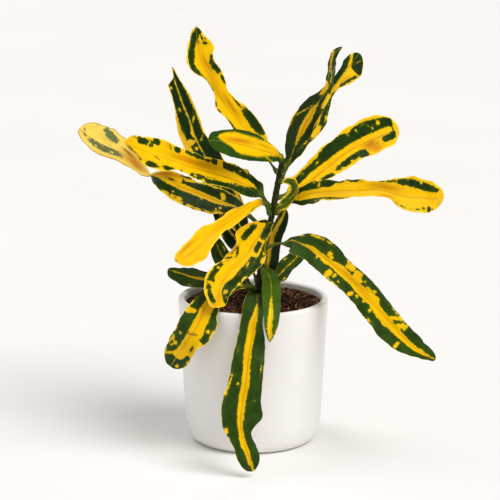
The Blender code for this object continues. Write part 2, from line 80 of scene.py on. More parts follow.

# The leaves, in millimetres from the stem outwards, left before right.
# Form, as the solids have it but for a tighter twist in left_long: "facing" is where the
# upper face looks (FACES_FRONT if left out), "fold" how far each half rises from the midrib
# in degrees, "wave" the height, number and phase in degrees of the waves on the edges, "tip"
# round unless it says pointed, and "midrib" its points from the stalk to the tip: x, y, z,
# left and right half width (the stalk's if left out) and the roll about it in degrees.
# Outline: "wider" has a side (-1 left, 1 right), along the leaf from and to, and by how much.
# "curls" are margins that roll up: side, from and to, share across where they start, degrees.
# Marks: "colour" names a kind in LEAF_COLOURS. "middle" gives how far the yellow middle
# reaches to each side at places along the leaf (20 is past the edge), and "margin" where a
# yellow margin starts (30 is none). "rim" is the width of the thin yellow line on the edges
# and "rib" where the midrib's line lies off the middle. "patches" are laid on in turn:
# yellow (1) or green (-1), centre along and across, half length, half width and turn in
# degrees. "amber" are painted shade, amber laid over the yellow in folds and hollows,
# strength first, and "brown" are scars.
LEAVES = {
    "crown_tall": dict(
        fold=10, wave=(2, 3), colour="deep", rim=(0.3, 0.4),
        midrib=((22, 0, 244), (13, 1, 257), (5, 4, 269, 7, 10), (-7, 11, 283, 8.5, 13),
        (-18, 17, 295, 7.5, 12.5), (-25, 19.5, 304, 11, 10), (-31, 22, 313, 4.5, 9),
        (-37, 27, 326, 6, 9.5), (-45, 31, 339, 14.5, 10), (-48, 34, 350, 12, 11.5),
        (-50, 36, 360, 8.5, 8), (-51, 39, 370, 1, 1)),
        wider=((-1, 42, 76, 2), (-1, 138, 158, -1.8), (1, 92, 112, 1), (1, 127, 145, 1.8),
        (1, 143, 158, -1.8)),
        middle=((16, 1, 1), (22, 30, 30)),
        rib=((0, 0), (50, -1), (90, -1), (115, -1.2), (135, -1), (154, 0)),
        amber=((0.9, 76, 3, 19, 2.6, 3), (0.9, 118, 2.4, 15, 1.8, -3), (0.5, 100, 0, 44, 5)),
        brown=((140, 0, 2, 1.1, 10),),
        patches=((-1, 51, 9.4, 15.4, 4.4, 3), (-1, 73, 8.8, 7, 1, -4), (-1, 61, -8.8, 8, 1.1),
        (-1, 76, -9.6, 2.4, 0.8, -20), (-1, 83, -8.2, 4, 0.6, 30), (-1, 106, -6, 10, 0.5, -14),
        (-1, 101, 8.8, 7, 1.3, -8), (-1, 112, 7.2, 7, 2.4, -6), (-1, 121, 7.6, 6, 1.7, 18),
        (-1, 115.5, -8.8, 3, 1.7, -20), (-1, 123, -11, 6.4, 3, 4), (-1, 130, -8.6, 6.4, 3.3, 14),
        (-1, 138.5, -5.4, 6.6, 2.8, 24), (-1, 146, -1.6, 5.4, 3.4, 30), (-1, 150, 1, 3.4, 2.8),
        (-1, 138, 6.4, 1.2, 2.6, 20), (-1, 143.5, 4, 2.8, 1, -20), (-1, 141.6, 7, 1.6, 0.8),
        (1, 128, -13.4, 8, 0.7, 5))),
    "crown_short": dict(
        facing=(0.2, -0.9, 0.4), fold=8, wave=(0.8, 2, 40), colour="soft",
        midrib=((26, -2, 257), (18, -8, 263, 7.5, 6), (4, -17, 269, 11, 12), (-7, -26, 274, 13.5, 13),
        (-22, -38, 279, 13, 11.5), (-32, -45, 282, 9.5, 8), (-39, -51, 283, 1, 1)),
        middle=((0, 0, 0), (6, 0, 3), (8, 0.4, 4), (13, 2.2, 7), (20, 4.6, 8.6), (30, 7, 9),
        (40, 8.4, 9.2), (50, 9, 9.2), (57, 7.4, 10), (60, 4.4, 9.8), (65, 2, 9), (70, 0, 7.5),
        (74, -2, 5.5), (77, -3.4, 2), (90, -5, -2)),
        amber=((1, 52, 3.4, 20, 2.8, -2), (0.7, 24, 4.6, 12, 1.6, 8), (0.6, 36, 11.6, 8, 1.2)),
        patches=((1, 18, -6.4, 4, 0.4, 20), (-1, 10, 6, 5, 0.5, 30))),
    "left_upright": dict(
        fold=12, wave=(1.5, 4), tip="pointed", colour="black", rim=(0.5, 0.6),
        midrib=((8, 3, 165), (-1, 13.5, 177), (-14, 30, 194, 9, 10), (-28, 50, 219, 13, 13),
        (-43, 65, 246, 15, 13), (-52, 72, 261.5, 14, 10), (-59, 79, 280.5, 11.5, 8), (-65, 84, 294, 9, 8),
        (-70, 87.5, 308, 8, 6.5), (-71.5, 88.5, 312, 7.5, 5), (-73, 89.5, 316.5, 1, 4),
        (-74.6, 91, 326.5, 1, 1)),
        wider=((-1, 128, 172, 1.6), (1, 134, 192, 1)),
        middle=((0, 0, 0), (30, 0.9, 0.3), (110, 1, 0), (136, 1.2, 0.2), (141, 3.6, -0.2), (146, 1.2, 0),
        (190, 0.9, 0), (197, 0, 0)),
        margin=((120, 30, 30), (126, 8.4, 30), (134, 9.6, 30), (138, 10.6, 7.8), (146, 10.8, 7.8),
        (154, 10.4, 7.6), (162, 9.8, 7.4), (170, 9, 7.2), (174, 8.6, 7), (177, 30, 6.8), (188, 30, 5.8),
        (194, 30, 4.4), (198, 30, 30)),
        patches=((1, 137, -12, 8, 2.2, 8), (1, 133.5, -7.6, 2.6, 4.6, 10), (1, 133, -3.4, 1.2, 1.6),
        (1, 126.5, -4, 1.5, 1.5), (1, 165, -5.6, 1.5, 0.9), (1, 187, -6.2, 1.2, 0.9),
        (1, 134, 5.4, 1.8, 0.7, 40), (1, 154, 3.8, 2.6, 0.7, 25), (1, 40, -8, 8, 2, 20),
        (1, 70, 10, 12, 1.5, 5), (1, 95, -11, 9, 1.5))),
    "left_upper": dict(
        fold=8, wave=(1.5, 3, 90), colour="deep", rim=(0.3, 0.3),
        midrib=((15, -2, 213), (9, -4, 223), (2, -10, 233, 5, 3), (-7, -17, 238, 10, 10),
        (-21, -27, 246, 11, 13), (-34, -34, 252, 13.5, 13), (-47, -41, 258, 13.5, 10.5),
        (-64, -49, 266, 12.5, 10.5), (-80, -57, 273, 15.5, 13.5), (-97, -64, 279, 11, 10),
        (-110, -70, 285, 1, 1)),
        wider=((-1, 12, 70, 3), (-1, 14, 38, 1.6), (-1, 116, 154, 2.4), (1, 12, 48, 3), (1, 14, 36, 1.8)),
        curls=((-1, 146, 166, 0.5, 80),),
        middle=((0, 0, 0), (17, -0.4, 0), (22, 0, -1.6), (28, 1, 2), (34, 2, 4), (40, 3, 4.6),
        (50, 4, 5.4), (58, 6, 5.6), (65, 6.2, 6), (67, 6.4, 20), (74, 6.6, 20), (80, 7.2, 20),
        (90, 7.8, 20), (98, 9, 20), (100, 20, 20)),
        rib=((0, 0), (30, -1), (60, -1.6), (80, -2.5), (100, -3.5), (120, -4), (135, -3.6), (150, -1.6),
        (163, 0)),
        amber=((0.9, 96, 2, 34, 4.6, -2), (0.7, 70, -1.6, 30, 1.2, -3), (0.6, 121, 9, 7, 4),
        (0.5, 45, -1, 14, 1, -2)),
        brown=((132, -6, 3, 1, 20), (158, 3, 2, 0.4)),
        patches=((1, 42, 11.6, 7, 1.2, 14), (1, 57, 12.8, 8, 0.8, 4), (1, 74, -13.8, 26, 0.5),
        (1, 53, 6.2, 1, 0.5), (1, 47, 9, 0.8, 0.6), (1, 70, -7.6, 14, 0.5, -6), (-1, 74, 9.8, 3, 2.8),
        (-1, 81, 8.4, 4, 1.4, -15), (-1, 95, 9.8, 9.8, 3.3), (1, 98, 9.4, 1.6, 0.5), (-1, 113, 8, 3.2, 3),
        (-1, 119.8, 8.6, 0.6, 3, -20), (-1, 133.2, 10, 3.4, 3.8), (-1, 138.6, 7, 2.6, 3.6),
        (-1, 146.8, 6.6, 5.6, 3.2, -3), (-1, 154.4, 7, 2.6, 0.8), (1, 139.6, 8.2, 0.7, 2.2),
        (1, 137, 10, 0.5, 1), (1, 91, -12.8, 5, 0.6), (1, 84.5, -11.6, 1.4, 1), (1, 92, -10.4, 1.2, 0.5),
        (-1, 108, -11.4, 2.2, 0.6, -50), (-1, 121, -13.4, 6, 2.4, 4), (-1, 136.6, -13.4, 5.8, 2.8, 6),
        (-1, 154.5, -7.4, 9, 2.3, 34), (1, 129, -13.6, 1.4, 1.6))),
    "left_long": dict(
        fold=6, wave=(1.5, 4), colour="deep", rim=(0.4, 0.4),
        midrib=((11, 2, 191), (2, 6.5, 199), (-6, 12.5, 205, 2, 2), (-14, 19, 209, 6, 7),
        (-30, 28, 213, 13, 11), (-48, 35, 218, 15, 11), (-66, 41, 222.5, 12, 11, -5),
        (-79, 45, 227.5, 10, 10, -20), (-88, 47.5, 232, 8, 8, -70), (-96, 49, 234.5, 8.5, 5, -125),
        (-104, 50.5, 238, 9.5, 5.5, -150), (-113, 52, 246, 9.5, 5, -165), (-122, 53, 253, 15, 5.5, -175),
        (-136, 56, 258.5, 20.5, 6.5, -180), (-148, 60, 265, 17, 7, -180), (-159.5, 64, 273, 1, 1, -180)),
        wider=((-1, 40, 112, 2.6), (-1, 112, 164, 4.5), (1, 80, 138, 4), (1, 132, 200, 2.4)),
        curls=((1, 84, 134, 0.72, 160),),
        middle=((34, 0, 0), (38, 1, 0.4), (45, 2.4, 0.5), (52, 3.6, 1), (60, 4, 1.5), (70, 3.5, 2),
        (80, 3, 3.2), (90, 2, 4), (97, 1.2, 4.6), (101, 1, 20), (120, 0.3, 20), (127, 0.5, 20),
        (129, 20, 20)),
        margin=((52, 12.8, 30), (60, 14, 30), (72, 15, 30), (80, 14.2, 30), (88, 12.4, 30), (96, 11, 30),
        (106, 10, 30), (112, 9.6, 30), (116, 30, 30)),
        rib=((0, 0), (50, -1), (70, -0.8), (90, 0.6), (105, 2), (125, 1), (150, -1), (204, 0)),
        amber=((1, 114, 6, 16, 5), (1, 142, -3, 20, 8), (0.5, 70, 0, 30, 1.4, 4), (0.35, 176, -8, 12, 4)),
        brown=((154, -5.6, 7, 1.4), (171, -3, 3, 0.5, -10), (193, -14, 6, 0.5, 60)),
        patches=((1, 51, -11.6, 5, 1.1, -18), (1, 54, -9, 0.9, 0.9), (1, 51, -6.6, 1.1, 1.2),
        (-1, 64, -16, 2, 1), (-1, 75, -16.8, 3, 0.8), (-1, 84, -14.4, 2, 1.4),
        (1, 91, -10.6, 2.6, 1.6, 10), (1, 97.5, -9.8, 2, 1.5), (1, 105.5, -9, 3.6, 1.1, 8),
        (1, 99, -5.6, 0.8, 0.7), (1, 71, -4.6, 0.7, 0.6), (1, 53.5, 4.8, 2, 3.8, -35),
        (1, 75, 10.4, 24, 0.5), (1, 89, 9.4, 5, 1.2, -10), (1, 97.5, 7.6, 1.6, 2.8),
        (-1, 105.5, 3.9, 4.6, 0.9), (-1, 119, -3, 8, 2, 8), (-1, 176, -13, 11, 3.8, -16),
        (-1, 173.5, 2.2, 18, 2.6), (1, 184, -11.6, 2.6, 1), (-1, 200, -3.4, 2.4, 0.7, -50),
        (-1, 196, 0.8, 2, 0.5, -20), (1, 166, 2.6, 1.4, 0.6), (1, 175, 0.6, 1, 0.4),
        (1, 182, 3.4, 1.2, 0.5))),
    "right_front_tip": dict(
        fold=10, wave=(1.2, 2), tip="pointed", colour="deep",
        midrib=((24, -2, 236), (31, -10, 254), (36, -15.5, 270, 9, 9), (45, -22, 292, 13, 10),
        (55, -29, 310, 10, 8), (62, -34, 324, 5, 5, 40), (65, -37, 338, 3.5, 5, 65),
        (67, -41, 349, 3.5, 4, 60), (70, -44, 358, 3, 3, 40), (76, -48, 364, 1, 1)),
        wider=((-1, 102, 126, -2), (1, 98, 132, 3.4)),
        middle=((40, 0, 0), (44, 1, 1), (50, 2, 2), (58, 2.8, 3), (65, 3, 4), (72, 3, 4), (80, 2.5, 2.5),
        (90, 0, 0)),
        amber=((0.5, 62, 0.5, 20, 2), (0.7, 104, -0.6, 8, 1.6), (0.9, 131, -1, 10, 2.4)),
        patches=((1, 64, -12.6, 10, 0.9, -2), (1, 71.5, -8.2, 6.4, 0.45, 25),
        (1, 47.6, 7.6, 4.6, 0.7, 22), (1, 93.4, 5.2, 6.8, 1.8, -6), (1, 103.6, -1, 7, 2.6),
        (-1, 97.6, 0.6, 5, 0.5, 52), (1, 112, 4, 6, 0.35, 10), (1, 130, -0.8, 9, 1.1, -6),
        (1, 119, 2.4, 3.4, 0.3, -20))),
    "right_back_spoon": dict(
        fold=10, wave=(1.2, 3), colour="deep", rim=(0, 0.3),
        midrib=((25, 2, 245), (32, 11, 254, 4, 4), (39, 17.5, 262, 9, 6), (49, 26, 274, 10, 6),
        (58, 34, 288, 9, 8), (65, 40, 300, 6, 5), (69, 45, 307, 3, 3), (75, 50, 317, 5, 6),
        (82, 54, 326, 5, 10), (89, 58, 334, 6, 10), (96, 61, 343, 1, 1)),
        wider=((1, 38, 70, 2.4), (1, 96, 132, 3.6), (-1, 116, 138, 1.6)),
        middle=((0, 0, 0), (20, 0.5, 0.5), (40, 2, 2), (70, 1, 0.4), (84, 1.2, 1.4), (91, 0.8, 1),
        (95, 0.8, 4), (99, 0.2, 14), (108, 0, 14), (116, 0.6, 14), (118.6, 0.8, 14), (119.6, 1.4, 5),
        (121, 1.8, 2), (124, 2.8, 0), (128, 4.6, -2), (131, 6.6, -3.5), (134, 7, -5)),
        amber=((0.5, 108, 5, 8, 2.4, 20),),
        patches=((1, 50, 5, 7, 3, 5), (-1, 62, 5.6, 5, 1.8), (1, 62, 2, 5, 0.7, -8),
        (1, 68, 6.2, 7, 0.5, -18), (-1, 75, 3.4, 6, 1.2, -15), (-1, 108.5, 8.4, 10.5, 1.6, 23),
        (1, 30, 5, 5, 1.4, 10), (1, 129, 4.6, 2, 0.3, 30))),
    "right_upper": dict(
        fold=10, wave=(1.5, 3), colour="deep", rim=(0.5, 0.5),
        midrib=((21, 2, 221), (31, 10, 225), (40, 17, 230, 9, 6), (53, 29, 237, 13, 11),
        (70, 39, 246, 12, 14), (84, 49, 254, 12, 15), (97, 58, 261, 15, 15), (110, 65, 267, 16, 15),
        (123, 70, 272, 12, 15), (133, 73, 273, 1, 1)),
        wider=((-1, 26, 54, -1.8), (-1, 50, 118, 5), (-1, 106, 144, 1.8), (1, 44, 64, 1),
        (1, 92, 128, 4.6), (1, 118, 143, 2.4)),
        middle=((0, 0, 0), (22, 0, 0.6), (28, 0, 5), (34, 0.6, 7), (38, 1.2, 8), (44, 2, 9),
        (47, 2.4, 20), (52, 3, 20), (60, 3.6, 20), (74, 4.2, 20), (90, 4.2, 20), (102, 3.8, 20),
        (112, 3, 20), (122, 2.4, 20), (130, 2, 20), (136, 1.6, 20), (139.4, 1.4, 20), (140.5, 20, 20)),
        margin=((0, 30, 30), (22, 6, 30), (30, 7, 30), (40, 8.4, 30), (50, 9.4, 30), (59, 10.6, 30),
        (62, 13.2, 30), (70, 15, 30), (80, 17.2, 30), (90, 17.4, 30), (96, 16.2, 30), (100, 13.6, 30),
        (105, 15.4, 30), (110, 15.6, 30), (120, 14.6, 30), (138, 11, 30)),
        rib=((0, 0), (35, 3.6), (50, 3), (65, 2), (85, 1), (100, 2), (120, 4), (135, 4.4), (144, 2)),
        amber=((1, 110, 8, 11, 7.4), (0.9, 112, 14, 8, 5), (0.9, 116, 4.4, 20, 1, 3),
        (0.6, 45, 4, 16, 1.6, -6), (0.5, 80, 0.5, 30, 1.4), (0.6, 35, -8.8, 12, 1.2, -6)),
        brown=((112, 6, 4, 0.5, -20), (117, 9.6, 0.8, 2, 20), (120.5, 15, 0.4, 3)),
        patches=((1, 38, -6, 1, 0.5), (1, 56, -6.8, 1.6, 0.6, -20), (1, 98.5, -12.2, 0.8, 1.2),
        (1, 107.5, -11.6, 0.9, 1.4, 10), (1, 115, -13.4, 1.6, 0.6), (1, 121.4, -6.8, 0.8, 1.6, 30),
        (1, 128.5, -9, 1.3, 2.4, 20), (1, 119, -10, 0.6, 0.6), (-1, 52.4, 11.4, 8.6, 3),
        (1, 48, 9.6, 1, 0.6), (1, 63.4, 12, 1.8, 4), (-1, 82, 9, 16, 3.2), (-1, 97, 12, 5, 5),
        (1, 83.6, 11.4, 1.4, 1.2, 20), (1, 72, 11.8, 3, 0.6, 20), (1, 88, 12.6, 2, 0.7),
        (-1, 131, 9.2, 8.8, 3.5, -4), (-1, 137, 6.4, 3.2, 3.2), (-1, 138.6, 1, 0.7, 5))),
    "right_long": dict(
        fold=8, wave=(1.2, 4), colour="deep", rim=(0.2, 0.2),
        midrib=((20, -2, 214), (29, -9, 220), (39, -14.5, 224, 5, 4), (50, -20, 229, 7, 7),
        (63, -25, 232, 8, 8), (76, -31, 234, 10, 8), (93, -36, 235, 10, 5), (108, -40, 237, 8, 5),
        (119, -43, 236, 10, 6), (132, -47, 234, 15, 13), (144, -50, 234, 15, 15), (157, -52, 233, 12, 12),
        (165, -54, 233, 1, 1)),
        wider=((-1, 12, 68, 4), (-1, 64, 94, 1.5), (-1, 100, 142, 3.2), (1, 20, 52, 3.6),
        (1, 74, 116, 1.4), (1, 116, 158, 2.4)),
        middle=((20, 0, 0), (24, 3, 1), (28, 4.4, 2.6), (34, 4.6, 4), (40, 4.2, 5), (46, 4.2, 5.2),
        (52, 4.8, 5.2), (58, 5.2, 5.2), (61, 6.6, 5.6), (64, 20, 5.8), (80, 20, 6.6), (83, 20, 20)),
        margin=((0, 30, 30), (118, 14.4, 30), (126, 15.8, 30), (156, 8.4, 30)),
        rib=((0, 0), (50, -0.5), (90, -1), (115, 1), (135, 2), (150, 1.8), (159, 0.5)),
        amber=((0.9, 108, -4, 17, 4), (0.8, 110, 4.6, 8, 1.6), (0.7, 140, 1.8, 16, 0.6),
        (0.4, 60, 1, 26, 2.4), (0.5, 75, 7, 9, 1)),
        patches=((-1, 66, -9.4, 6, 1.2), (-1, 78, -10.6, 6, 1.8), (1, 71, -9.6, 1.4, 1.4),
        (1, 47, -8, 1, 2.2, 10), (1, 43, -10.2, 1, 0.8), (1, 47, -11.2, 3, 0.5),
        (-1, 104, -8.6, 3, 0.6, -20), (-1, 112, -10.4, 5, 1.1, -14), (-1, 122, -12, 7, 3.3, -6),
        (-1, 130, -11.6, 6, 3.7, 10), (-1, 141, -8.8, 11, 3.4, 12), (-1, 151, -7, 3.6, 2.3, 14),
        (1, 138.5, -12, 0.7, 1), (1, 144, -11.6, 0.6, 0.7), (1, 132, -6.4, 2, 0.6), (1, 50, 7.6, 3, 0.4),
        (1, 66, 7.4, 3, 0.4), (1, 58, 7.8, 3, 0.4), (-1, 126, 12.4, 2.4, 0.4, 30),
        (-1, 138, 14.6, 3.4, 0.5, -8), (-1, 143.5, 12.6, 1.6, 1.2), (-1, 147.8, 12.6, 1.6, 2.6),
        (-1, 151, 12, 0.8, 0.7), (-1, 155.4, 5, 0.5, 1))),
    "curl": dict(
        facing=(-0.5, -0.8, 0.2), fold=5, wave=(0.3, 2), tip="pointed", colour="mid", rim=(1.2, 1.4),
        midrib=((20, -1, 208), (25, -13, 217, 3, 3), (32, -17, 224, 4.5, 4), (37, -18, 232, 5, 3.5),
        (36, -16, 239, 4.5, 3), (30, -12, 240, 3.5, 3), (25, -11, 238, 1, 1)),
        wider=((-1, 12, 50, 2), (1, 12, 50, 2)),
        curls=((-1, 18, 50, 0.3, 70), (1, 18, 50, 0.3, 70)),
        middle=((60, -0.5, -0.5),),
        patches=((1, 12, -2.2, 6, 0.7, 10), (1, 30, -5, 13, 1.2), (1, 36, 4, 12, 0.9),
        (1, 9, 1.4, 4, 0.5), (1, 38, 1.4, 6, 0.4, 10))),
    "yellow_left": dict(
        fold=5, wave=(0.8, 2), colour="clear", rim=(0.3, 0.3),
        midrib=((15, -2, 207), (10, -11, 218, 1.3, 1.3), (1, -17, 220, 4, 4), (-12, -25, 214, 5, 6),
        (-25, -35, 208, 6, 7), (-36, -46, 202, 9, 7.5), (-47, -55, 195, 13, 8), (-58, -66, 188, 12, 7),
        (-67, -74, 181, 1, 1)),
        wider=((-1, 8, 30, -1), (-1, 18, 40, 1.6), (-1, 28, 74, 1.6), (-1, 44, 68, 0.8),
        (-1, 90, 130, 3.2), (1, 8, 26, 1.2), (1, 22, 44, -1), (1, 50, 80, -2.2), (1, 76, 94, 1),
        (1, 88, 122, -1)),
        middle=((14, 0, 0), (19, 1, 1), (22, 20, 20)),
        rib=((0, 0), (40, -1), (70, -2.6), (95, -3.8), (110, -3.2), (124, 0)),
        amber=((0.9, 106, 3, 15, 2, -2), (0.7, 108, -4.6, 16, 0.8, 5), (0.5, 60, 1, 30, 2, -4)),
        brown=((123.5, 0.5, 1.4, 1), (60, 7.2, 2.4, 0.5)),
        patches=((-1, 27, -3.6, 8, 0.5, -12),)),
    "inner_upright": dict(
        fold=6, wave=(0.4, 2), tip="pointed", colour="black", rim=(0.2, 0.1),
        midrib=((9, -2, 147), (13, -6, 160, 3.5, 8), (15, -6.3, 176, 4.5, 9), (17.2, -6.2, 188, 4.2, 9),
        (23.3, -6.2, 201, 4.4, 8), (27, -6, 208, 4, 5), (29, -5, 213.5, 1, 1)),
        middle=((0, 0.2, 0.2), (12, 1.6, 1), (28, 2.2, 1), (36, 2.2, 1.8), (48, 2, 1.8), (60, 1.2, 1.2),
        (71, 0.6, 0.6)),
        patches=((1, 21, -3.6, 8, 0.7), (1, 60, -4.2, 4, 0.4))),
    "front_small": dict(
        fold=6, wave=(0.6, 2), tip="pointed", colour="mid",
        midrib=((6, -3, 158), (9, -11, 159), (14, -19, 155, 6, 6), (16, -36, 149, 8, 8.5),
        (16, -52, 143, 8, 8.5), (16, -68, 137, 7.5, 8), (16, -77, 131, 6.5, 7), (15, -82, 122, 5, 5),
        (14, -85, 112, 1, 1)),
        wider=((-1, 6, 24, 1.5), (1, 6, 24, 1.5)),
        middle=((47, 0, 0), (50, 0.2, 0.3), (56, 0.5, 0.9), (62, 0.7, 1.6), (72, 0.9, 2.4),
        (80, 0.8, 2.9), (86, 0.8, 3.6), (91, 1, 3.8), (95, 1.8, 2.6), (99, 1.8, 1.2), (102, 0, 0)),
        brown=((93, -4.4, 4, 0.6, 20), (103, 0, 1.4, 1)),
        patches=((1, 97, -2.8, 3, 0.4, 20), (1, 92, -5.6, 2, 0.3, 15))),
    "right_low": dict(
        fold=8, wave=(1.5, 4), colour="mid_deep", rim=(0, 0.1),
        midrib=((7, -3, 173), (9, -18, 178), (15, -22, 183), (26, -22, 186, 1.3, 1.3),
        (34, -22, 188, 6, 8), (42, -26, 186, 11, 12), (59, -33, 178, 15, 14), (76, -42, 165, 13, 14),
        (93, -50, 150, 13, 13), (111, -57, 132, 12, 15), (129, -63, 113, 10, 13), (144, -68, 100, 9, 8),
        (159, -70, 92, 1, 1)),
        wider=((-1, 32, 52, -2), (1, 34, 60, 2.4), (1, 148, 194, 3), (1, 192, 213, -2.2)),
        middle=((44, 0, 0), (50, 0.3, 0.3), (56, 0.8, 0.6), (62, 1.8, 0.8), (70, 2.2, 2.4),
        (76, 1.8, 3.6), (79, 2, 4.8), (84, 2, 4.4), (88, 3, 3), (92, 4.6, 3.2), (97, 5.4, 3.6),
        (104, 4.8, 3.4), (112, 4.6, 3), (118, 4, 4), (123, 4.6, 4.6), (130, 6, 3.6), (136, 6.4, 3.8),
        (140, 5.4, 4), (144, 3.4, 5), (150, 3, 6.4), (158, 3, 6.6), (164, 2.8, 5.4), (172, 2.6, 4.6),
        (180, 1.6, 4), (190, 1.4, 3), (197, 2, 2.2), (204, 1.2, 1.2), (211, 0.2, 0.2)),
        rib=((0, 0), (60, 0.4), (120, 0.6), (160, 0.9), (212, 0)),
        amber=((0.7, 112, -2, 26, 2.4), (0.6, 160, -1, 30, 1.4), (0.5, 85, 0, 20, 1.6),
        (0.5, 160, 4.6, 16, 1.4)),
        brown=((81, 0.8, 1.4, 0.5), (206, 1.2, 2, 0.5)),
        patches=((1, 80.5, -5.4, 2, 2.4), (1, 84, -4, 1.4, 1.4), (1, 98, -11, 3, 1.4, 20),
        (1, 102, -9.4, 4.4, 3.2), (1, 99, -6.6, 2, 1), (1, 111.5, -7.4, 4.2, 5, -12),
        (1, 116, -6, 2.4, 2, 30), (1, 132, -8.4, 1.5, 1.5, 30), (1, 126, -6.4, 2.6, 1.6),
        (1, 134, -5.6, 5, 1.4), (1, 160, -5.4, 6.6, 1.7, -45), (1, 164, -8, 2.6, 1, -30),
        (1, 170, -5.6, 5.4, 2.2, -38), (1, 173.5, -6.6, 0.9, 2.4), (-1, 165.6, -4.8, 4.6, 0.5, -45),
        (1, 73.5, 4.4, 0.8, 1.4), (1, 91.8, 9.2, 2.8, 4.6), (1, 97, 7.2, 1.4, 2.2),
        (1, 118.5, 9, 1.9, 3.2, 10), (1, 124.2, 6.4, 1.6, 1.5, 20), (1, 131.5, 5, 0.8, 1),
        (1, 140.8, 6, 1.3, 2.6), (1, 103.4, 8.8, 1, 0.9), (1, 120, -8.5, 0.6, 0.5),
        (1, 63, -11.8, 6, 0.9, -8), (1, 74, -13.2, 2.4, 0.8), (1, 69, -12.4, 1, 1),
        (1, 100, 13.2, 5, 0.5), (1, 147, 13.4, 2.6, 0.9), (1, 178.4, 10.4, 1.6, 4.6, -4),
        (1, 52, -8, 2, 0.5, -30), (1, 162, -9.8, 6, 0.5, 4), (1, 155, -10.4, 1.2, 0.5))),
    "front_wavy": dict(
        fold=8, wave=(2.5, 3), colour="deep", rim=(0.3, 0.4),
        midrib=((15, -3, 199), (12, -10.4, 199, 5, 5), (8, -14.5, 194, 9, 11), (1, -21, 186, 11, 15),
        (-5, -28, 178, 18, 12), (-12, -35, 171, 17, 13), (-19, -42, 166, 15, 13), (-25, -49, 160, 14, 15),
        (-30, -58, 152, 13, 14), (-31, -65, 145, 9, 9), (-29, -70, 139, 1, 1)),
        wider=((1, 2, 40, 4), (1, 36, 60, 3.6)),
        curls=((1, 36, 60, 0.7, 130), (-1, 12, 30, 0.6, 40)),
        middle=((0, 0, 0), (6, 0.2, 1), (9, 0.8, 4), (12, 1, 20), (20, 0.6, 20), (22, 2, 20),
        (30, 2.4, 20), (36, 4, 20), (42, 4.6, 20), (50, 4.8, 20), (56, 5, 20), (62, 5.6, 20), (70, 6, 20),
        (74, 4.6, 20), (80, 2.6, 20), (86, 2.6, 20), (98, 4.6, 20), (106, 5, 20)),
        amber=((0.5, 60, 2, 24, 1), (0.6, 95, -2, 8, 1.6), (0.5, 102, 4, 4, 3), (0.5, 59, 9, 3, 3)),
        brown=((62, -7.8, 3.4, 1, -20), (18, -8.8, 4, 0.6)),
        patches=((1, 23.4, -4, 1.8, 3), (1, 39.4, -6, 2.4, 3.4), (-1, 30.4, -4.6, 4.4, 1.9, 6),
        (1, 32, -8.2, 10, 0.8, -10), (1, 50.4, -7, 2.8, 1.4, -14), (1, 52.6, -8.4, 1.2, 1),
        (1, 41, -16.4, 3.4, 2, -30), (1, 35, -13, 3, 0.8, -30), (1, 54, -16.2, 3, 0.6, 5),
        (1, 64, -13.8, 3.6, 0.8), (1, 75, -13.2, 4, 0.7), (1, 90, -6.2, 2.8, 2),
        (1, 86, -12.6, 5, 0.6, 12), (1, 97, -7.4, 1, 0.7), (1, 17, -7.6, 5, 0.4, -8),
        (-1, 22.4, 9.8, 10.4, 3, 3), (-1, 12, -3, 10, 4, -8), (1, 27, 13.8, 8, 1),
        (-1, 44, 8.4, 5.4, 1, -24), (-1, 55, 9.4, 4, 1, 35), (-1, 45, 11, 4, 0.5), (-1, 74, 11, 11, 2.8),
        (-1, 82, 8.2, 1.8, 1.8), (1, 66, 13.2, 4, 0.5), (1, 70, 10.6, 1, 0.6), (1, 78, 13.8, 4, 0.4),
        (1, 84.8, 10.6, 0.8, 3.4, -15), (-1, 88, 9.4, 1.8, 2.2), (-1, 95, 6, 6, 2, -32),
        (1, 91, 10, 1.4, 0.6))),
    "right_behind": dict(
        fold=8, wave=(0.5, 2), tip="pointed", colour="mid_deep",
        midrib=((7, 3, 144), (15, 11, 143, 2, 3), (22, 17.5, 146, 7, 8), (30, 24, 153, 8, 7),
        (39, 32, 159, 7.5, 6.5), (47, 38, 168, 5, 5), (52, 43, 171, 1, 1)),
        middle=((0, 0, 0), (18, 0.1, 0.4), (26, 0.2, 1), (40, 0.6, 0.7), (50, 0.8, 0.2), (69, 0.1, 0.1)),
        patches=((1, 38, -6.4, 1.6, 0.8), (1, 22, 6.4, 2, 0.4))),
    "front_long": dict(
        fold=8, wave=(1.5, 4), colour="mid_deep", rim=(0, 0.1),
        midrib=((4, -3, 133), (3, -14, 136, 5, 7), (3, -28, 138.5, 8, 10), (3, -45, 138.5, 8, 11),
        (2, -60, 137, 7.5, 11), (0, -72, 129, 8, 11), (-3, -78, 113, 13, 11), (-6, -87, 97, 14, 12),
        (-8, -96, 78, 14, 14), (-11, -102, 62, 16, 16), (-11.5, -108, 47, 15, 16),
        (-9.5, -112, 37, 6, 13), (-7, -115, 30, 9, 11), (-4, -117, 21, 9, 11), (-1, -119, 6, 1, 1)),
        wider=((-1, 82, 174, 1.8), (-1, 146, 182, 2.6), (-1, 176, 194, -1.6)),
        middle=((0, 0, 0), (48, 0, -0.2), (54, 1.2, -0.2), (60, 2, 0.4), (68, 3, 1.4), (75, 3.4, 3),
        (85, 3.4, 3.2), (100, 3.6, 3.2), (110, 4, 2.6), (120, 4.2, 2.5), (130, 4.5, 2.4), (142, 4.6, 2.3),
        (150, 4.2, 2.3), (160, 3.6, 2.2), (166, 2, 2.8), (172, 1.2, 3.2), (178, 1, 4), (184, 1.2, 4.6),
        (190, 1.2, 3.4), (197, 1.2, 2.6), (202, 1.6, 1.2), (206, 1.4, -0.4)),
        rib=((0, -1), (60, -1.6), (100, -1.6), (150, -1.4), (172, 0.8), (186, 1.2), (207, 0)),
        amber=((0.6, 110, -1.6, 45, 0.7), (0.5, 76, 0, 10, 2), (0.6, 188, 1, 12, 0.6)),
        brown=((204, 0.5, 2, 0.7), (52, -2.4, 3, 0.4)),
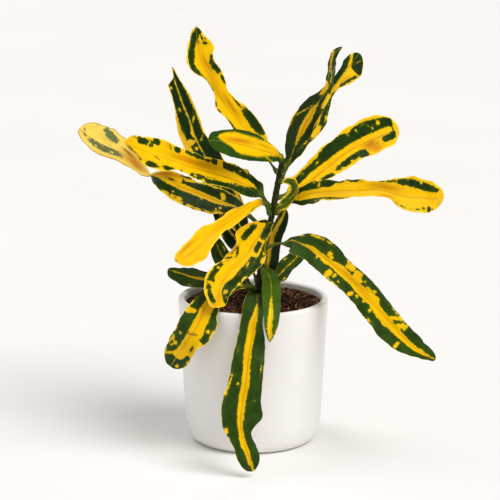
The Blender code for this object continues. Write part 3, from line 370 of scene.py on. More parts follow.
        patches=((1, 131, 5.2, 1.1, 1), (1, 143, -11.6, 0.5, 0.5), (1, 130, 12.6, 5.6, 0.9, 10),
        (1, 139, 14.2, 5, 1, 10), (1, 168.8, 13.2, 2.2, 1.8), (1, 102, 8.8, 1, 0.4),
        (1, 174.6, 12.6, 0.8, 0.6), (1, 116, -13.4, 3, 0.4), (1, 85, 10.8, 2, 0.4))),
    "left_front": dict(
        fold=8, wave=(1.5, 3), colour="mid_deep", rim=(0.4, 0.1),
        midrib=((2, -3, 139), (-7, -14, 144, 1.5, 1.5), (-21, -28, 148, 7, 8), (-34, -44, 142, 11, 10),
        (-43, -60, 134, 15, 14), (-49, -67, 122, 17, 16), (-56, -68, 111, 16, 15), (-64, -65, 99, 14, 14),
        (-73, -60, 83, 1, 1)),
        wider=((-1, 62, 86, -2.4), (-1, 98, 122, -2.4)),
        middle=((0, 0, 0), (18, 0.3, 0.3), (40, 3, 3), (60, 6.4, 3.8), (74, 7, 3.8), (86, 8, 4.2),
        (92, 7.4, 4.8), (97, 9.6, 4.6), (101, 8.6, 4.4), (103.5, 20, 4), (116, 20, 3), (118, 8, 3),
        (122, 7.2, 3.6), (126.5, 6, 6), (128.5, 0.8, 0.2), (134, 0.6, -0.4), (138, 0, 0)),
        amber=((0.5, 82, 0, 10, 3), (0.5, 82, 10, 3, 4), (0.4, 112, -11, 6, 2)),
        brown=((101, -0.5, 1.1, 5, -28), (101.5, 4, 1.4, 1.4)),
        patches=((1, 92.8, -11.6, 1.2, 1.6), (1, 93.4, -16, 2.2, 1), (-1, 110.6, -8.4, 3.6, 1.3),
        (1, 81.6, 9.2, 2, 3), (1, 82.4, 12, 2.6, 2.6), (1, 106.6, 8.9, 1.6, 1.4),
        (1, 117.6, 7.8, 1.6, 1.8, -20), (1, 121, 9.6, 1.2, 0.7, 20), (1, 115, 12.4, 2.6, 1.2, -35),
        (1, 118.6, 13, 2.6, 0.9), (1, 129, 8, 5, 1.2, 50), (1, 127, 12, 5, 0.8, -22),
        (1, 134.6, -5.4, 1.6, 1.8, 20), (1, 108, 14.8, 3, 0.4), (-1, 125, 11, 2, 2),
        (1, 76, 13.4, 5, 0.8, 14), (1, 121, -13, 5, 0.7, 14))),
    "left_low": dict(
        facing=(0, -0.6, 0.8), fold=6, wave=(0.6, 2), colour="mid_deep",
        midrib=((3, 2, 132), (-12, 14, 136, 1.5, 1.5), (-28, 24, 138, 6, 7), (-46, 27, 141, 10, 8),
        (-57, 28, 143, 12, 9), (-68, 29, 146, 10, 7), (-78, 30, 149, 1, 1)),
        wider=((-1, 44, 92, 2), (1, 76, 92, -1.6)),
        middle=((0, 0, 0), (24, 0.4, 0.4), (40, 1.4, 0.8), (56, 2, 1), (66, 1.7, 0.8), (72, 0.8, 0.6),
        (82, 0.6, 0.8), (90, 0, 0)),
        patches=((1, 67, -11.4, 1.5, 0.6), (1, 45, 6.6, 5, 0.6))),
    "back_left_low": dict(
        facing=(0, -0.6, 0.8), fold=8, wave=(0.6, 2), tip="pointed", colour="mid_deep",
        midrib=((3, 2, 137), (-3, 7, 139, 3, 2), (-9, 13, 144, 9, 5), (-19, 21, 151, 12, 7),
        (-28, 29, 161, 10, 8), (-34, 36, 172, 6, 6), (-38, 41, 181, 1, 1)),
        middle=((0, 0, 0), (14, -0.1, -0.1), (50, 0.3, 0.3), (74, 0.1, 0.1)),
        patches=((1, 30, -10, 6, 0.7), (1, 56, 5, 3, 0.6))),
    "back_left_inner": dict(
        fold=10, wave=(0.8, 2), tip="pointed", colour="black", rim=(0.2, 0.1),
        midrib=((4, 3, 143), (-1, 11, 153), (-8, 23, 167, 7, 5), (-16, 34, 177, 11, 8),
        (-25, 43, 187, 8, 9), (-32, 53, 200, 6, 8), (-38, 62, 215, 1, 1)),
        middle=((0, 0, 0), (24, 0.2, 0.2), (45, 0.9, 0.5), (60, 1.2, 0.5), (80, 0.9, 0.7),
        (103, 0.2, 0.2)),
        patches=((1, 62, -9, 4, 1), (1, 36, -6, 3, 0.8, 20), (1, 70, 7, 8, 0.8))),
}

# Colours, as sRGB hex. Each kind of leaf has two greens, a yellow and an amber, and how soft
# its marks' edges are in millimetres. The amber tints the veins and random warm patches of the
# yellow, and is the painted shade in its folds and along the midrib.
LEAF_COLOURS = {
    "deep": dict(dark="#122603", light="#264008", yellow="#F8C200", amber="#C47E00", soft=0.22),
    "black": dict(dark="#0D1E08", light="#1B3410", yellow="#E8B620", amber="#BF8A10", soft=0.22),
    "mid_deep": dict(dark="#1C3308", light="#385314", yellow="#F6C000", amber="#C48000", soft=0.25),
    "mid": dict(dark="#304E0A", light="#4A6A12", yellow="#F2CC14", amber="#D8A60A", soft=0.3),
    "soft": dict(dark="#1E3A06", light="#34560C", yellow="#F8C400", amber="#CE8600", soft=1.3),
    "clear": dict(dark="#6A7410", light="#8A9416", yellow="#F8BE00", amber="#CC8600", soft=0.4),
}
YELLOW_BY_GREEN = "#B8A400"
YELLOW_EDGE = "#FFE04C"
RIB_ON_YELLOW = "#A86E04"
GREEN_BY_YELLOW = "#5E6C06"
RIB_ON_GREEN = "#80882C"
FRECKLE = "#8A7A10"
BROWN = "#7E4A1E"
STALK_COLOUR = "#505E20"
PALE_YELLOW = "#F3D45E"
# The underside's painted amber shade, laid where the amber marks are.
PALE_AMBER_SHADE = "#B87E20"
PALE_GREEN = "#6A7848"
PALE_FRINGE = "#C08E72"
SCORCHED = "#99602C"
BARK_COLOURS = {"old": "#261E09", "young": "#202E07", "cork": "#6A6030", "scar": "#2A2412"}
SOIL_COLOURS = {"dark": "#140A05", "brown": "#7C543A", "pale": "#B88A68", "mottle": "#2A1610"}
GLAZE_COLOURS = {"white": "#EEEAE7", "whiter": "#F2EFED", "speck": "#CFC8C0"}

# Side veins: millimetres from one to the next, and how far they slant to the tip.
VEIN_GAP = 3.1
VEIN_SLANT = 0.62

# Stem, pot and soil: the solids' values, in millimetres, and how finely they are made.
STEM_ROUTE = (
    (4, 0, 96), (4, 0, 112), (4.5, 0, 129), (5.5, 0, 147), (8, 0, 163),
    (12, 0, 180), (17, 0, 209), (22, 0, 236), (25, 0, 252), (26, 0, 260),
)
STEM_BASE_RADIUS = 3.7
STEM_TOP_RADIUS = 2.7
STEM_STEPS = 260
STEM_SIDES = 32
POT_HEIGHT = 131.7
POT_TOP_RADIUS = 67.5
POT_SHOULDER = (61.9, 27.0)
POT_BASE_TURN = ((61.75, 24.0), (61.5, 21.0), (61.1, 18.0), (60.5, 14.0), (59.6, 10.0),
                 (58.6, 7.0), (57.2, 4.6), (55.8, 2.8), (54.0, 1.4), (52.2, 0.5))
POT_FOOT_RADIUS = 50.0
POT_WALL = 6.0
POT_FLOOR = 8.0
POT_INNER_CORNER = 9.0
CORNER_POINTS = 9
RIM_ROUNDING = 2.6
RIM_POINTS = 11
POT_SIDES = 240
SOIL_EDGE_HEIGHT = 126.0
SOIL_CROWN = 2.6
SOIL_RING_STEP = 1.1
SOIL_SIDES = 220
FIT_GAP = 0.3

# The bark's relief: how far its low parts lie under the solid's face, its grain, the
# swelling under a leaf, how far below a leaf its scar ring is, and rings of old leaves.
BARK_DEPTH = 0.25
BARK_ROUGH = 0.35
FOOT_SWELLING = 0.55
SCAR_DROP = 3.2
SCAR_WIDTH = 0.6
OLD_SCAR_WIDTH = 0.7
OLD_SCAR_SWELLING = 0.3
OLD_SCARS = (104, 131.5, 136, 150.5, 154, 162, 169, 180, 186, 196, 227, 231)
ROUND_END_STEPS = 12

# The soil's lumps, wide and small: height, waves per millimetre and layer of the noise.
SOIL_LUMPS = ((0.9, 0.09, 3.0), (0.6, 0.35, 8.0))
SOIL_SINK = 0.6

# What lies on the soil, crumbs, clods and fibres: how many, subdivisions of the ball each is
# made from, least and most size, squash along, across and up, most lean in radians, and
# least room to the soil's rim. Then how lumpy they are, how high their middles lie over the
# soil as a share of their size, a power that makes more of them dark, and the seed.
GRAIN_ROOM = 0.4
GRAINS = (
    (3400, 1, (0.5, 1.15), (1.4, 0.8, 0.7), 3.1, GRAIN_ROOM),
    (520, 2, (0.9, 1.7), (1.4, 0.75, 0.65), 3.1, GRAIN_ROOM),
    (420, 1, (0.6, 1.0), (3.2, 0.7, 0.6), 0.35, 4.5),
)
GRAIN_LUMPS = 0.28
GRAIN_HEIGHTS = (-0.1, 0.5)
GRAIN_DARKNESS = 1.25
GRAIN_SEED = 11

# Camera and studio. Each lamp: name, place it shines from, strength, softness in degrees,
# and whether it lights, shines in gloss or does both.
CAMERA_PLACE = (-0.003, -1.9483, 0.6258)
CAMERA_TILT = 76.95
CAMERA_LENS = 160.6
CAMERA_SENSOR = 36
BACKGROUND = "#F7F6F4"
WORLD_LIGHT = 0.4
FLOOR_COLOURS = ("#F2F0EE", "#F4F2F0")
FLOOR_RADIUS = 9000
FLOOR_DROP = 0.15
FLOOR_SIDES = 96
LAMPS = (
    ("key", (1.0, -0.7, 1.5), 2.4, 38, "diffuse"),
    ("fill", (-1.0, -0.9, 0.5), 0.25, 60, "diffuse"),
    ("overhead", (-0.5, 0.3, 1.0), 0.6, 30, "both"),
    ("sheen", (-0.15, -0.2, 1.0), 0.5, 26, "gloss"),
)


def linear(hex_colour):
    """An sRGB hex colour as the linear RGBA that shaders take."""
    parts = [int(hex_colour[i:i + 2], 16) / 255 for i in (1, 3, 5)]
    return tuple(c / 12.92 if c <= 0.04045 else ((c + 0.055) / 1.055) ** 2.4 for c in parts) + (1.0,)


class Nodes:
    """Short ways to add shader nodes to one new material. Colours may be hex strings."""

    def __init__(self, name):
        self.material = bpy.data.materials.new(name)
        self.material.use_nodes = True
        self.tree = self.material.node_tree
        self.shader = self.tree.nodes["Principled BSDF"]

    def put(self, socket, value):
        """Link a socket to another, or set its value."""
        if isinstance(value, bpy.types.NodeSocket):
            self.tree.links.new(value, socket)
        else:
            socket.default_value = linear(value) if isinstance(value, str) else value

    def add(self, kind, values=None, **settings):
        """A node with its settings and its inputs filled in."""
        made = self.tree.nodes.new("ShaderNode" + kind)
        for key, value in settings.items():
            setattr(made, key, value)
        for key, value in (values or {}).items():
            self.put(made.inputs[key], value)
        return made

    def math(self, operation, first, second=0.0):
        """One Math node's result."""
        return self.add("Math", {0: first, 1: second}, operation=operation).outputs[0]

    def step(self, value, low, high, start=0.0, end=1.0):
        """Smoothly from start to end as value goes from low to high."""
        limits = {"Value": value, "From Min": low, "From Max": high, "To Min": start, "To Max": end}
        return self.add("MapRange", limits, interpolation_type="SMOOTHSTEP").outputs["Result"]

    def noise(self, vector, scale, detail=2.0):
        """A noise texture's value, about 0.5."""
        values = {"Vector": vector, "Scale": scale, "Detail": detail}
        return self.add("TexNoise", values).outputs["Fac"]

    def swing(self, vector, scale, size):
        """Noise from about minus size to size."""
        centred = self.math("SUBTRACT", self.noise(vector, scale), 0.5)
        return self.math("MULTIPLY", centred, 4.0 * size)

    def mix(self, factor, first, second):
        """A colour between two."""
        return self.add("Mix", {0: factor, 6: first, 7: second}, data_type="RGBA").outputs[2]

    def coats(self, colour, *coats):
        """A colour under coats laid on in turn, each a factor, its strength and a colour."""
        for factor, strength, coat in coats:
            colour = self.mix(self.math("MULTIPLY", factor, strength), colour, coat)
        return colour

    def value(self, name, output="Fac"):
        """An attribute of the mesh."""
        return self.add("Attribute", attribute_name=name).outputs[output]

    def place(self):
        """The place in the object's own frame, in metres."""
        return self.add("TexCoord").outputs["Object"]

    def bump(self, height, distance, strength=1.0):
        """Set the shader's normal from a height, distance in metres."""
        values = {"Height": height, "Distance": distance, "Strength": strength}
        self.put(self.shader.inputs["Normal"], self.add("Bump", values).outputs["Normal"])

    def surface(self, colour, roughness, specular=0.5):
        """The material, with the shader's colour, roughness and specular level."""
        self.put(self.shader.inputs["Base Color"], colour)
        self.put(self.shader.inputs["Roughness"], roughness)
        self.shader.inputs["Specular IOR Level"].default_value = specular
        return self.material


def leaf_material(name, dark, light, yellow, amber, soft):
    """A waxy two-coloured leaf, read from the marks that each leaf's mesh carries."""
    nodes = Nodes("leaf_" + name)
    place = nodes.value("leaf_map", "Vector")
    parts = nodes.add("SeparateXYZ", {0: place}).outputs
    along, from_rib = parts["X"], nodes.math("ABSOLUTE", parts["Y"])
    edge, stalk, under = nodes.value("edge"), nodes.value("stalk"), nodes.value("under")

    # Where yellow meets green, roughened at two sizes.
    ragged = nodes.math("ADD", nodes.swing(place, 0.3, 0.6), nodes.swing(place, 0.8, 0.4))
    field = nodes.math("ADD", nodes.value("yellow"), ragged)
    is_yellow = nodes.step(field, -soft, soft)
    near_yellow = nodes.step(field, -1.8, 0.3, 0.0, 0.45)
    near_green = nodes.step(field, 0.2, 2.2, 0.3, 0.0)

    # Side veins run out from the midrib, slanted towards the tip.
    slant = nodes.math("SUBTRACT", along, nodes.math("MULTIPLY", from_rib, VEIN_SLANT))
    bent = nodes.math("ADD", slant, nodes.swing(place, 0.12, 1.2))
    crest = nodes.math("ABSOLUTE", nodes.math("SINE", nodes.math("MULTIPLY", bent, math.pi / VEIN_GAP)))
    vein = nodes.step(crest, 0.0, 0.28, 1.0, 0.0)
    rib = nodes.step(from_rib, 0.15, 0.5, 1.0, 0.0)

    # The upper face: gold, warmer in random patches, with painted shade along the midrib's hollow
    # and in the amber marks' folds, and two greens.
    # Painted shade in amber along the hollow by the midrib, added to random warm patches.
    shade_by_rib = nodes.step(from_rib, 0.3, 3.0, 0.1, 0.0)
    warmth_and_shade = nodes.step(nodes.math("ADD", nodes.noise(place, 0.055, 3.0), shade_by_rib), 0.48, 0.85, 0.0, 0.4)
    # The amber marks add painted fold shade on top.
    warmth_and_shade = nodes.math("MAXIMUM", warmth_and_shade, nodes.value("amber"))
    gold = nodes.coats(
        yellow, (warmth_and_shade, 1.0, amber), (vein, 0.08, amber), (near_green, 1.0, YELLOW_BY_GREEN),
        (nodes.step(edge, 0.3, 1.6, 0.6, 0.0), 1.0, YELLOW_EDGE), (rib, 0.5, RIB_ON_YELLOW))
    depth = nodes.step(nodes.noise(place, 0.07), 0.3, 0.7, 0.2, 0.7)
    leafy = nodes.coats(dark, (depth, 1.0, light), (vein, 0.12, light),
                        (near_yellow, 1.0, GREEN_BY_YELLOW), (rib, 0.6, RIB_ON_GREEN))

    # Small dark freckles on yellow, brown scars and the stalk.
    freckle = nodes.step(nodes.noise(place, 0.9, 1.0), 0.74, 0.77, 0.0, 0.4)
    scar = nodes.step(nodes.math("ADD", nodes.value("brown"), nodes.swing(place, 0.7, 0.5)), -0.4, 0.6)
    colour = nodes.coats(nodes.mix(is_yellow, leafy, gold), (freckle, is_yellow, FRECKLE),
                         (scar, 0.8, BROWN), (stalk, 1.0, STALK_COLOUR))

    # The underside is paler and duller, with scorched fringes and a thin brown margin; its gold takes
    # the painted amber shade of the amber marks too.
    pale_gold = nodes.mix(nodes.value("amber"), PALE_YELLOW, PALE_AMBER_SHADE)
    fringe = nodes.math("MULTIPLY", near_yellow, nodes.step(field, 0.0, 1.0, 1.0, 0.0))
    margin = nodes.math("ADD", edge, nodes.swing(place, 0.5, 0.3))
    pale = nodes.coats(
        nodes.mix(is_yellow, PALE_GREEN, pale_gold),
        (fringe, nodes.step(nodes.noise(place, 0.5), 0.45, 0.65), PALE_FRINGE),
        (nodes.step(margin, 0.5, 1.0, 0.85, 0.0), 1.0, SCORCHED), (rib, 0.55, SCORCHED),
        (scar, 0.7, BROWN), (stalk, 1.0, STALK_COLOUR))
    colour = nodes.coats(colour, (under, 0.9, pale))

    grain = nodes.math("MULTIPLY", nodes.noise(place, 1.8), 0.35)
    swell = nodes.math("MULTIPLY", nodes.noise(place, 0.16), 2.2)
    ridge = nodes.math("ADD", nodes.math("MULTIPLY", nodes.math("POWER", crest, 0.6), 0.22), grain)
    nodes.bump(nodes.math("ADD", ridge, swell), 0.0005, 0.6)
    shine = nodes.step(nodes.noise(place, 0.3, 3.0), 0.3, 0.7, 0.3, 0.42)
    return nodes.surface(colour, nodes.math("ADD", shine, nodes.math("MULTIPLY", under, 0.15)), 0.13)


def stem_material():
    """Green-brown young bark with raised grey cork lines and the green of the tip."""
    nodes = Nodes("bark")
    place = nodes.place()
    long_map = nodes.add("Mapping", {"Vector": place, "Scale": (1.0, 1.0, 0.22)}).outputs[0]
    height = nodes.add("SeparateXYZ", {0: place}).outputs["Z"]
    youth = nodes.math("ADD", height, nodes.swing(place, 60.0, 0.02))
    colour = nodes.coats(
        BARK_COLOURS["old"], (nodes.step(youth, 0.13, 0.235), 1.0, BARK_COLOURS["young"]),
        (nodes.step(nodes.noise(long_map, 900.0, 3.0), 0.45, 0.7), 0.5, BARK_COLOURS["cork"]),
        (nodes.step(nodes.value("scar"), 0.2, 0.9), 0.6, BARK_COLOURS["scar"]))
    nodes.bump(nodes.noise(long_map, 900.0, 4.0), 0.0006, 0.8)
    return nodes.surface(colour, nodes.step(nodes.noise(place, 300.0), 0.3, 0.7, 0.55, 0.8), 0.15)


def soil_material():
    """Dark crumbly potting soil, each crumb with its own shade."""
    nodes = Nodes("potting_soil")
    place = nodes.place()
    shade = nodes.value("tone")
    mottle = nodes.step(nodes.noise(place, 1500.0, 3.0), 0.35, 0.7, 0.0, 0.5)
    colour = nodes.coats(
        SOIL_COLOURS["dark"], (nodes.step(shade, 0.0, 0.7), 1.0, SOIL_COLOURS["brown"]),
        (nodes.step(shade, 0.7, 1.0), 1.0, SOIL_COLOURS["pale"]), (mottle, 1.0, SOIL_COLOURS["mottle"]))
    nodes.bump(nodes.noise(place, 2200.0, 3.0), 0.0006)
    return nodes.surface(colour, nodes.step(nodes.noise(place, 700.0), 0.3, 0.7, 0.8, 1.0), 0.15)


def ceramic_material():
    """Matte, faintly uneven white glaze."""
    nodes = Nodes("matte_ceramic")
    place = nodes.place()
    colour = nodes.coats(
        GLAZE_COLOURS["white"],
        (nodes.step(nodes.noise(place, 14.0, 3.0), 0.3, 0.7), 1.0, GLAZE_COLOURS["whiter"]),
        (nodes.step(nodes.noise(place, 900.0, 1.0), 0.74, 0.8, 0.0, 0.25), 1.0, GLAZE_COLOURS["speck"]))
    fine = nodes.math("MULTIPLY", nodes.noise(place, 700.0, 3.0), 0.12)
    nodes.bump(nodes.math("ADD", nodes.noise(place, 30.0), fine), 0.0006, 0.5)
    return nodes.surface(colour, nodes.step(nodes.noise(place, 60.0, 3.0), 0.3, 0.7, 0.42, 0.52))


def add_mesh(name, points, faces, material, attributes=None, sharp=50):
    """One smooth-shaded mesh object from points in millimetres, with its point attributes."""
    mesh = bpy.data.meshes.new(name)
    mesh.from_pydata((np.asarray(points) * MM).tolist(), [], faces)
    for key, values in (attributes or {}).items():
        values = np.asarray(values, dtype=np.float32)
        kind, field = ("FLOAT_VECTOR", "vector") if values.ndim == 2 else ("FLOAT", "value")
        mesh.attributes.new(key, kind, "POINT").data.foreach_set(field, values.ravel())
    mesh.shade_smooth()
    mesh.set_sharp_from_angle(angle=math.radians(sharp))
    mesh.materials.append(material)
    made = bpy.data.objects.new(name, mesh)
    bpy.context.collection.objects.link(made)
    return made


def tube_faces(ring, stride, count):
    """Quads of a closed tube of count rings, each stride point numbers after the last."""
    after = np.roll(ring, -1)
    band = np.stack([ring, after, after + stride, ring + stride], axis=1)
    return np.concatenate([band + i * stride for i in range(count - 1)]).tolist()


def smooth_curve(rows, places):
    """Values of a centripetal Catmull-Rom curve through rows, at parameters 0 to rows - 1."""
    rows = np.array(rows, dtype=float)
    padded = np.vstack([2 * rows[0] - rows[1], rows, 2 * rows[-1] - rows[-2]])
    span = np.linalg.norm(np.diff(padded[:, :3], axis=0), axis=1) ** 0.5
    knots = np.concatenate([[0.0], np.cumsum(span)])
    out = []
    for place in places:
        i = min(int(place), len(rows) - 2)
        p, k = padded[i:i + 4], knots[i:i + 4]
        t = k[1] + (place - i) * (k[2] - k[1])
        a = [((k[j + 1] - t) * p[j] + (t - k[j]) * p[j + 1]) / (k[j + 1] - k[j]) for j in range(3)]
        b = [((k[j + 2] - t) * a[j] + (t - k[j]) * a[j + 1]) / (k[j + 2] - k[j]) for j in range(2)]
        out.append(((k[2] - t) * b[0] + (t - k[1]) * b[1]) / (k[2] - k[1]))
    return np.array(out)


def even_places(rows, step, tip):
    """Parameters along the curve about step millimetres apart, crowding towards a round tip."""
    places = []
    last = len(rows) - 2
    for i in range(last + 1):
        count = max(1, round(math.dist(rows[i][:3], rows[i + 1][:3]) / step))
        if i == last and tip == "round":
            count = max(3, count)
            places += [i + math.sin(math.pi / 2 * k / count) for k in range(count)]
        else:
            places += [i + k / count for k in range(count)]
    return places + [last + 1]


def unit(vectors):
    """Each row at length one."""
    return vectors / np.maximum(np.linalg.norm(vectors, axis=-1, keepdims=True), 1e-9)


def smooth_step(value, low, high):
    """0 below low, 1 above high, and smooth between."""
    t = np.clip((value - low) / (high - low), 0.0, 1.0)
    return t * t * (3 - 2 * t)


def stretch(distance, start, end, share):
    """1 between start and end and 0 outside, with a smooth share of it at both ends."""
    ease = (end - start) * share
    return smooth_step(distance, start, start + ease) * smooth_step(-distance, -end, ease - end)


def ripple(distance, chance, period):
    """A smooth uneven swing about zero along a distance, with waves about a period long."""
    total = np.zeros_like(distance)
    for factor, size in RIPPLE_WAVES:
        total = total + size * np.sin(2 * math.pi * factor * distance / period + chance.uniform(0, 6.3))
    return total


def leaf_frames(leaf):
    """Along a leaf: points, side and face directions, half widths, wave share and distance."""
    rows = [row + MIDRIB_REST[len(row):] for row in leaf["midrib"]]
    tip = leaf.get("tip", "round")
    places = even_places(rows, FINE_STEP, tip)
    solid = even_places(rows, SOLID_STEP, tip)
    share = np.interp(places, solid, np.linspace(0, 1, len(solid)))
    curve = smooth_curve(rows, places)
    halves = np.maximum(curve[:, 3:5], TIP_HALF_WIDTH)
    points = curve[:, :3]
    steps = np.linalg.norm(np.diff(points, axis=0), axis=1)
    distance = np.concatenate([[0.0], np.cumsum(steps)])
    if tip == "round":
        past = np.clip(np.array(places) - (len(rows) - 2), 0.0, 1.0)[:, None]
        rounded = np.array(rows[-2][3:5]) * np.sqrt(np.maximum(1 - past ** 2, 0.0))
        halves = np.where(past > 0, np.maximum(rounded, TIP_HALF_WIDTH), halves)
    else:
        left_over = np.clip((distance[-1] - distance) / POINT_LENGTH, 0.0, 1.0)[:, None]
        halves = np.maximum(halves * np.sqrt(left_over), TIP_HALF_WIDTH)
    along = unit(np.gradient(points, axis=0))
    face = np.array(leaf.get("facing", FACES_FRONT), dtype=float)
    face = unit(face - along * (along @ face)[:, None])
    side = np.cross(along, face)
    roll = np.radians(curve[:, 5:6])
    faces = face * np.cos(roll) + side * np.sin(roll)
    sides = side * np.cos(roll) - face * np.sin(roll)
    return points, sides, faces, halves, share, distance


def rolled(reach, distance, curls, fold):
    """How far rolled margins move a section inwards and up, beside a plain folded one."""
    inwards, up = np.zeros_like(reach), np.zeros_like(reach)
    middle = reach.shape[1] // 2
    for side, start, end, from_share, degrees in curls:
        columns = range(middle + 1, reach.shape[1]) if side > 0 else range(middle - 1, -1, -1)
        amount = stretch(distance, start, end, CURL_EASE)
        for column in columns:
            before = column - side
            width = np.abs(reach[:, column] - reach[:, before])
            angle = math.radians(degrees) * amount * smooth_step(abs(ACROSS[column]), from_share, 1.0)
            inwards[:, column] = inwards[:, before] + width * (np.cos(fold + angle) - np.cos(fold)) * side
            up[:, column] = up[:, before] + width * (np.sin(fold + angle) - np.sin(fold))
    return inwards, up


def leaf_surface(leaf, chance):
    """The middle surface of a leaf and its leaf coordinates, as grids of stations by places."""
    points, sides, faces, halves, share, distance = leaf_frames(leaf)
    height, waves, phase = (*leaf["wave"], 0)[:3]
    fold = math.radians(leaf["fold"])
    t = ACROSS[None, :]
    mean = halves.mean(axis=1, keepdims=True)
    wide = np.clip((mean - STALK_HALF_WIDTH) / (BLADE_HALF_WIDTH - STALK_HALF_WIDTH), 0.0, 1.0)
    uneven = [1 + RAGGED * ripple(distance, chance, RAGGED_PERIOD) * wide[:, 0] for _ in range(2)]
    left, right = halves[:, 0] * uneven[0], halves[:, 1] * uneven[1]
    for side, start, end, extra in leaf.get("wider", ()):
        more = extra * stretch(distance, start, end, WIDER_EASE)
        left, right = (left, right + more) if side > 0 else (left + more, right)
    reach = np.where(t > 0, right[:, None], left[:, None]) * t
    swing = 2 * math.pi * waves * share[:, None] + math.radians(phase)
    lift = np.abs(reach) * math.sin(fold) * wide
    lift = lift + height * wide * t * t * np.sin(swing + np.where(t > 0, WAVE_LEAD, 0.0))
    right_ruffle, left_ruffle = (ripple(distance, chance, RUFFLE_PERIOD)[:, None] for _ in range(2))
    lift = lift + RUFFLE * wide * t ** 4 * np.where(t > 0, right_ruffle, left_ruffle)
    flat = reach * np.cos(fold * wide)
    inwards, up = rolled(reach, distance, leaf.get("curls", ()), fold)
    surface = points[:, None, :] + sides[:, None, :] * (flat + inwards)[..., None]
    surface = surface + faces[:, None, :] * (lift + up)[..., None]
    return surface, faces, reach, np.stack([left, right], axis=1), wide, share, distance


def inside_ellipse(along, across, middle_along, middle_across, length, width, turn=0):
    """Millimetres inside a squarish ellipse (plus) or outside it (minus), roughly."""
    turn = math.radians(turn)
    ds, da = along - middle_along, across - middle_across
    u = np.abs(ds * math.cos(turn) + da * math.sin(turn)) / length
    v = np.abs(da * math.cos(turn) - ds * math.sin(turn)) / width
    return (1 - (u ** SQUARE + v ** SQUARE) ** (1 / SQUARE)) * min(length, width)


def values_along(rows, along):
    """What rows of (along, value, ...) say at places along a leaf, one result for each value."""
    rows = np.array(rows, dtype=float)
    return [np.interp(along, rows[:, 0], column) for column in rows.T[1:]]


def mark_fields(leaf, along, across, halves):
    """Each mark's field over the blade, in millimetres inside it (the painted amber shade as a share),
    and the rib.
    """
    on_right = across > 0
    left, right = values_along(leaf["middle"], along)
    outer_left, outer_right = values_along(leaf.get("margin", NO_MARGIN), along)
    (rib,) = values_along(leaf.get("rib", ((0, 0),)), along)
    field = np.minimum(left + across, right - across)
    field = np.maximum(field, np.where(on_right, across - outer_right, -across - outer_left))
    for kind, *mark in leaf["patches"]:
        inside = inside_ellipse(along, across, *mark)
        field = np.maximum(field, inside) if kind > 0 else np.minimum(field, -inside)
    edge = np.where(on_right, halves[:, 1:2], halves[:, 0:1]) - np.abs(across)
    rim_left, rim_right = leaf.get("rim", (0, 0))
    rim = np.where(on_right, rim_right, rim_left)
    field = np.where(rim > 0, np.maximum(field, (rim - edge) * RIM_RISE), field)
    brown = np.full_like(field, NO_SCAR)
    for mark in leaf.get("brown", ()):
        brown = np.maximum(brown, inside_ellipse(along, across, *mark))
    # Amber marks are painted shade in the folds and hollows of the yellow, as a share from 0 to 1.
    amber = np.zeros_like(field)
    for strength, *mark in leaf.get("amber", ()):
        soft = min(mark[2], mark[3])
        inside = inside_ellipse(along, across, *mark)
        amber = np.maximum(amber, strength * smooth_step(inside, -AMBER_REACH * soft, soft))
    return {"yellow": field, "brown": brown, "amber": amber, "edge": edge}, rib


def make_leaf(name, leaf, material, seed):
    """One leaf: a stalk that flattens into a thin blade with a raised rib and thin margins."""
    chance = np.random.default_rng(seed)
    surface, faces, reach, halves, wide, share, distance = leaf_surface(leaf, chance)
    stations, count = reach.shape
    along = np.repeat(distance[:, None], count, axis=1)
    fields, rib = mark_fields(leaf, along, reach, halves)
    from_rib = reach - rib

    normal = np.cross(np.gradient(surface, axis=1), np.gradient(surface, axis=0))
    weak = np.linalg.norm(normal, axis=-1, keepdims=True) < 1e-4
    normal = unit(np.where(weak, np.repeat(faces[:, None, :], count, axis=1), normal))

    t = ACROSS[None, :]
    past_stalk = smooth_step(share, *STALK_END)[:, None]
    thin = np.maximum(wide, past_stalk)
    foot = STALK_EXTRA + STALK_FOOT * np.exp(-((distance - FOOT_LENGTH) / FOOT_LENGTH) ** 2)[:, None]
    stalk = (STALK_THICKNESS / 2 + foot) * np.sqrt(np.maximum(1 - t * t, 0.01))
    blade = RIM_THICKNESS / 2 + (BLADE_THICKNESS - RIM_THICKNESS) / 2 * (1 - t ** 8)
    taper = (1 - RIB_FADE * smooth_step(share, RIB_FADE_FROM, 1.0))[:, None] * (1 - t ** 6)
    ridge = RIB_DEPTH * taper * np.exp(-(from_rib / RIB_WIDTH) ** 2)
    groove = GROOVE_DEPTH * taper * np.exp(-(from_rib / GROOVE_WIDTH) ** 2)
    upper_half = stalk + (blade - groove - stalk) * thin
    lower_half = stalk + (blade + ridge - stalk) * thin
    widen = foot / STALK_HALF_WIDTH * (1 - thin)
    spread = (surface - surface[:, count // 2, None, :]) * widen[..., None]
    upper = surface + spread + normal * upper_half[..., None]
    lower = surface + spread - normal * lower_half[..., None]

    points = np.concatenate([upper.reshape(-1, 3), lower.reshape(-1, 3)])
    shift = stations * count
    row = np.arange(count)
    quads = tube_faces(np.concatenate([row, shift + row[::-1]]), count, stations)
    end = shift - count
    for k in range(count - 1):
        quads.append((shift + k, shift + k + 1, k + 1, k))
        quads.append((shift + end + k, end + k, end + k + 1, shift + end + k + 1))

    leaf_map = np.stack([along, from_rib, np.full_like(along, seed * LEAF_SHIFT)], axis=-1)
    leaf_map = leaf_map.reshape(-1, 3)
    is_stalk = (1 - smooth_step(wide, 0.1, 0.8)) * (1 - past_stalk)
    fields["stalk"] = np.repeat(is_stalk, count, axis=1)
    attributes = {key: np.tile(values.ravel(), 2) for key, values in fields.items()}
    attributes["leaf_map"] = np.concatenate([leaf_map, leaf_map])
    attributes["under"] = np.repeat([0.0, 1.0], shift)
    return add_mesh(f"leaf_{name}_blade", points, quads, material, attributes, sharp=60)


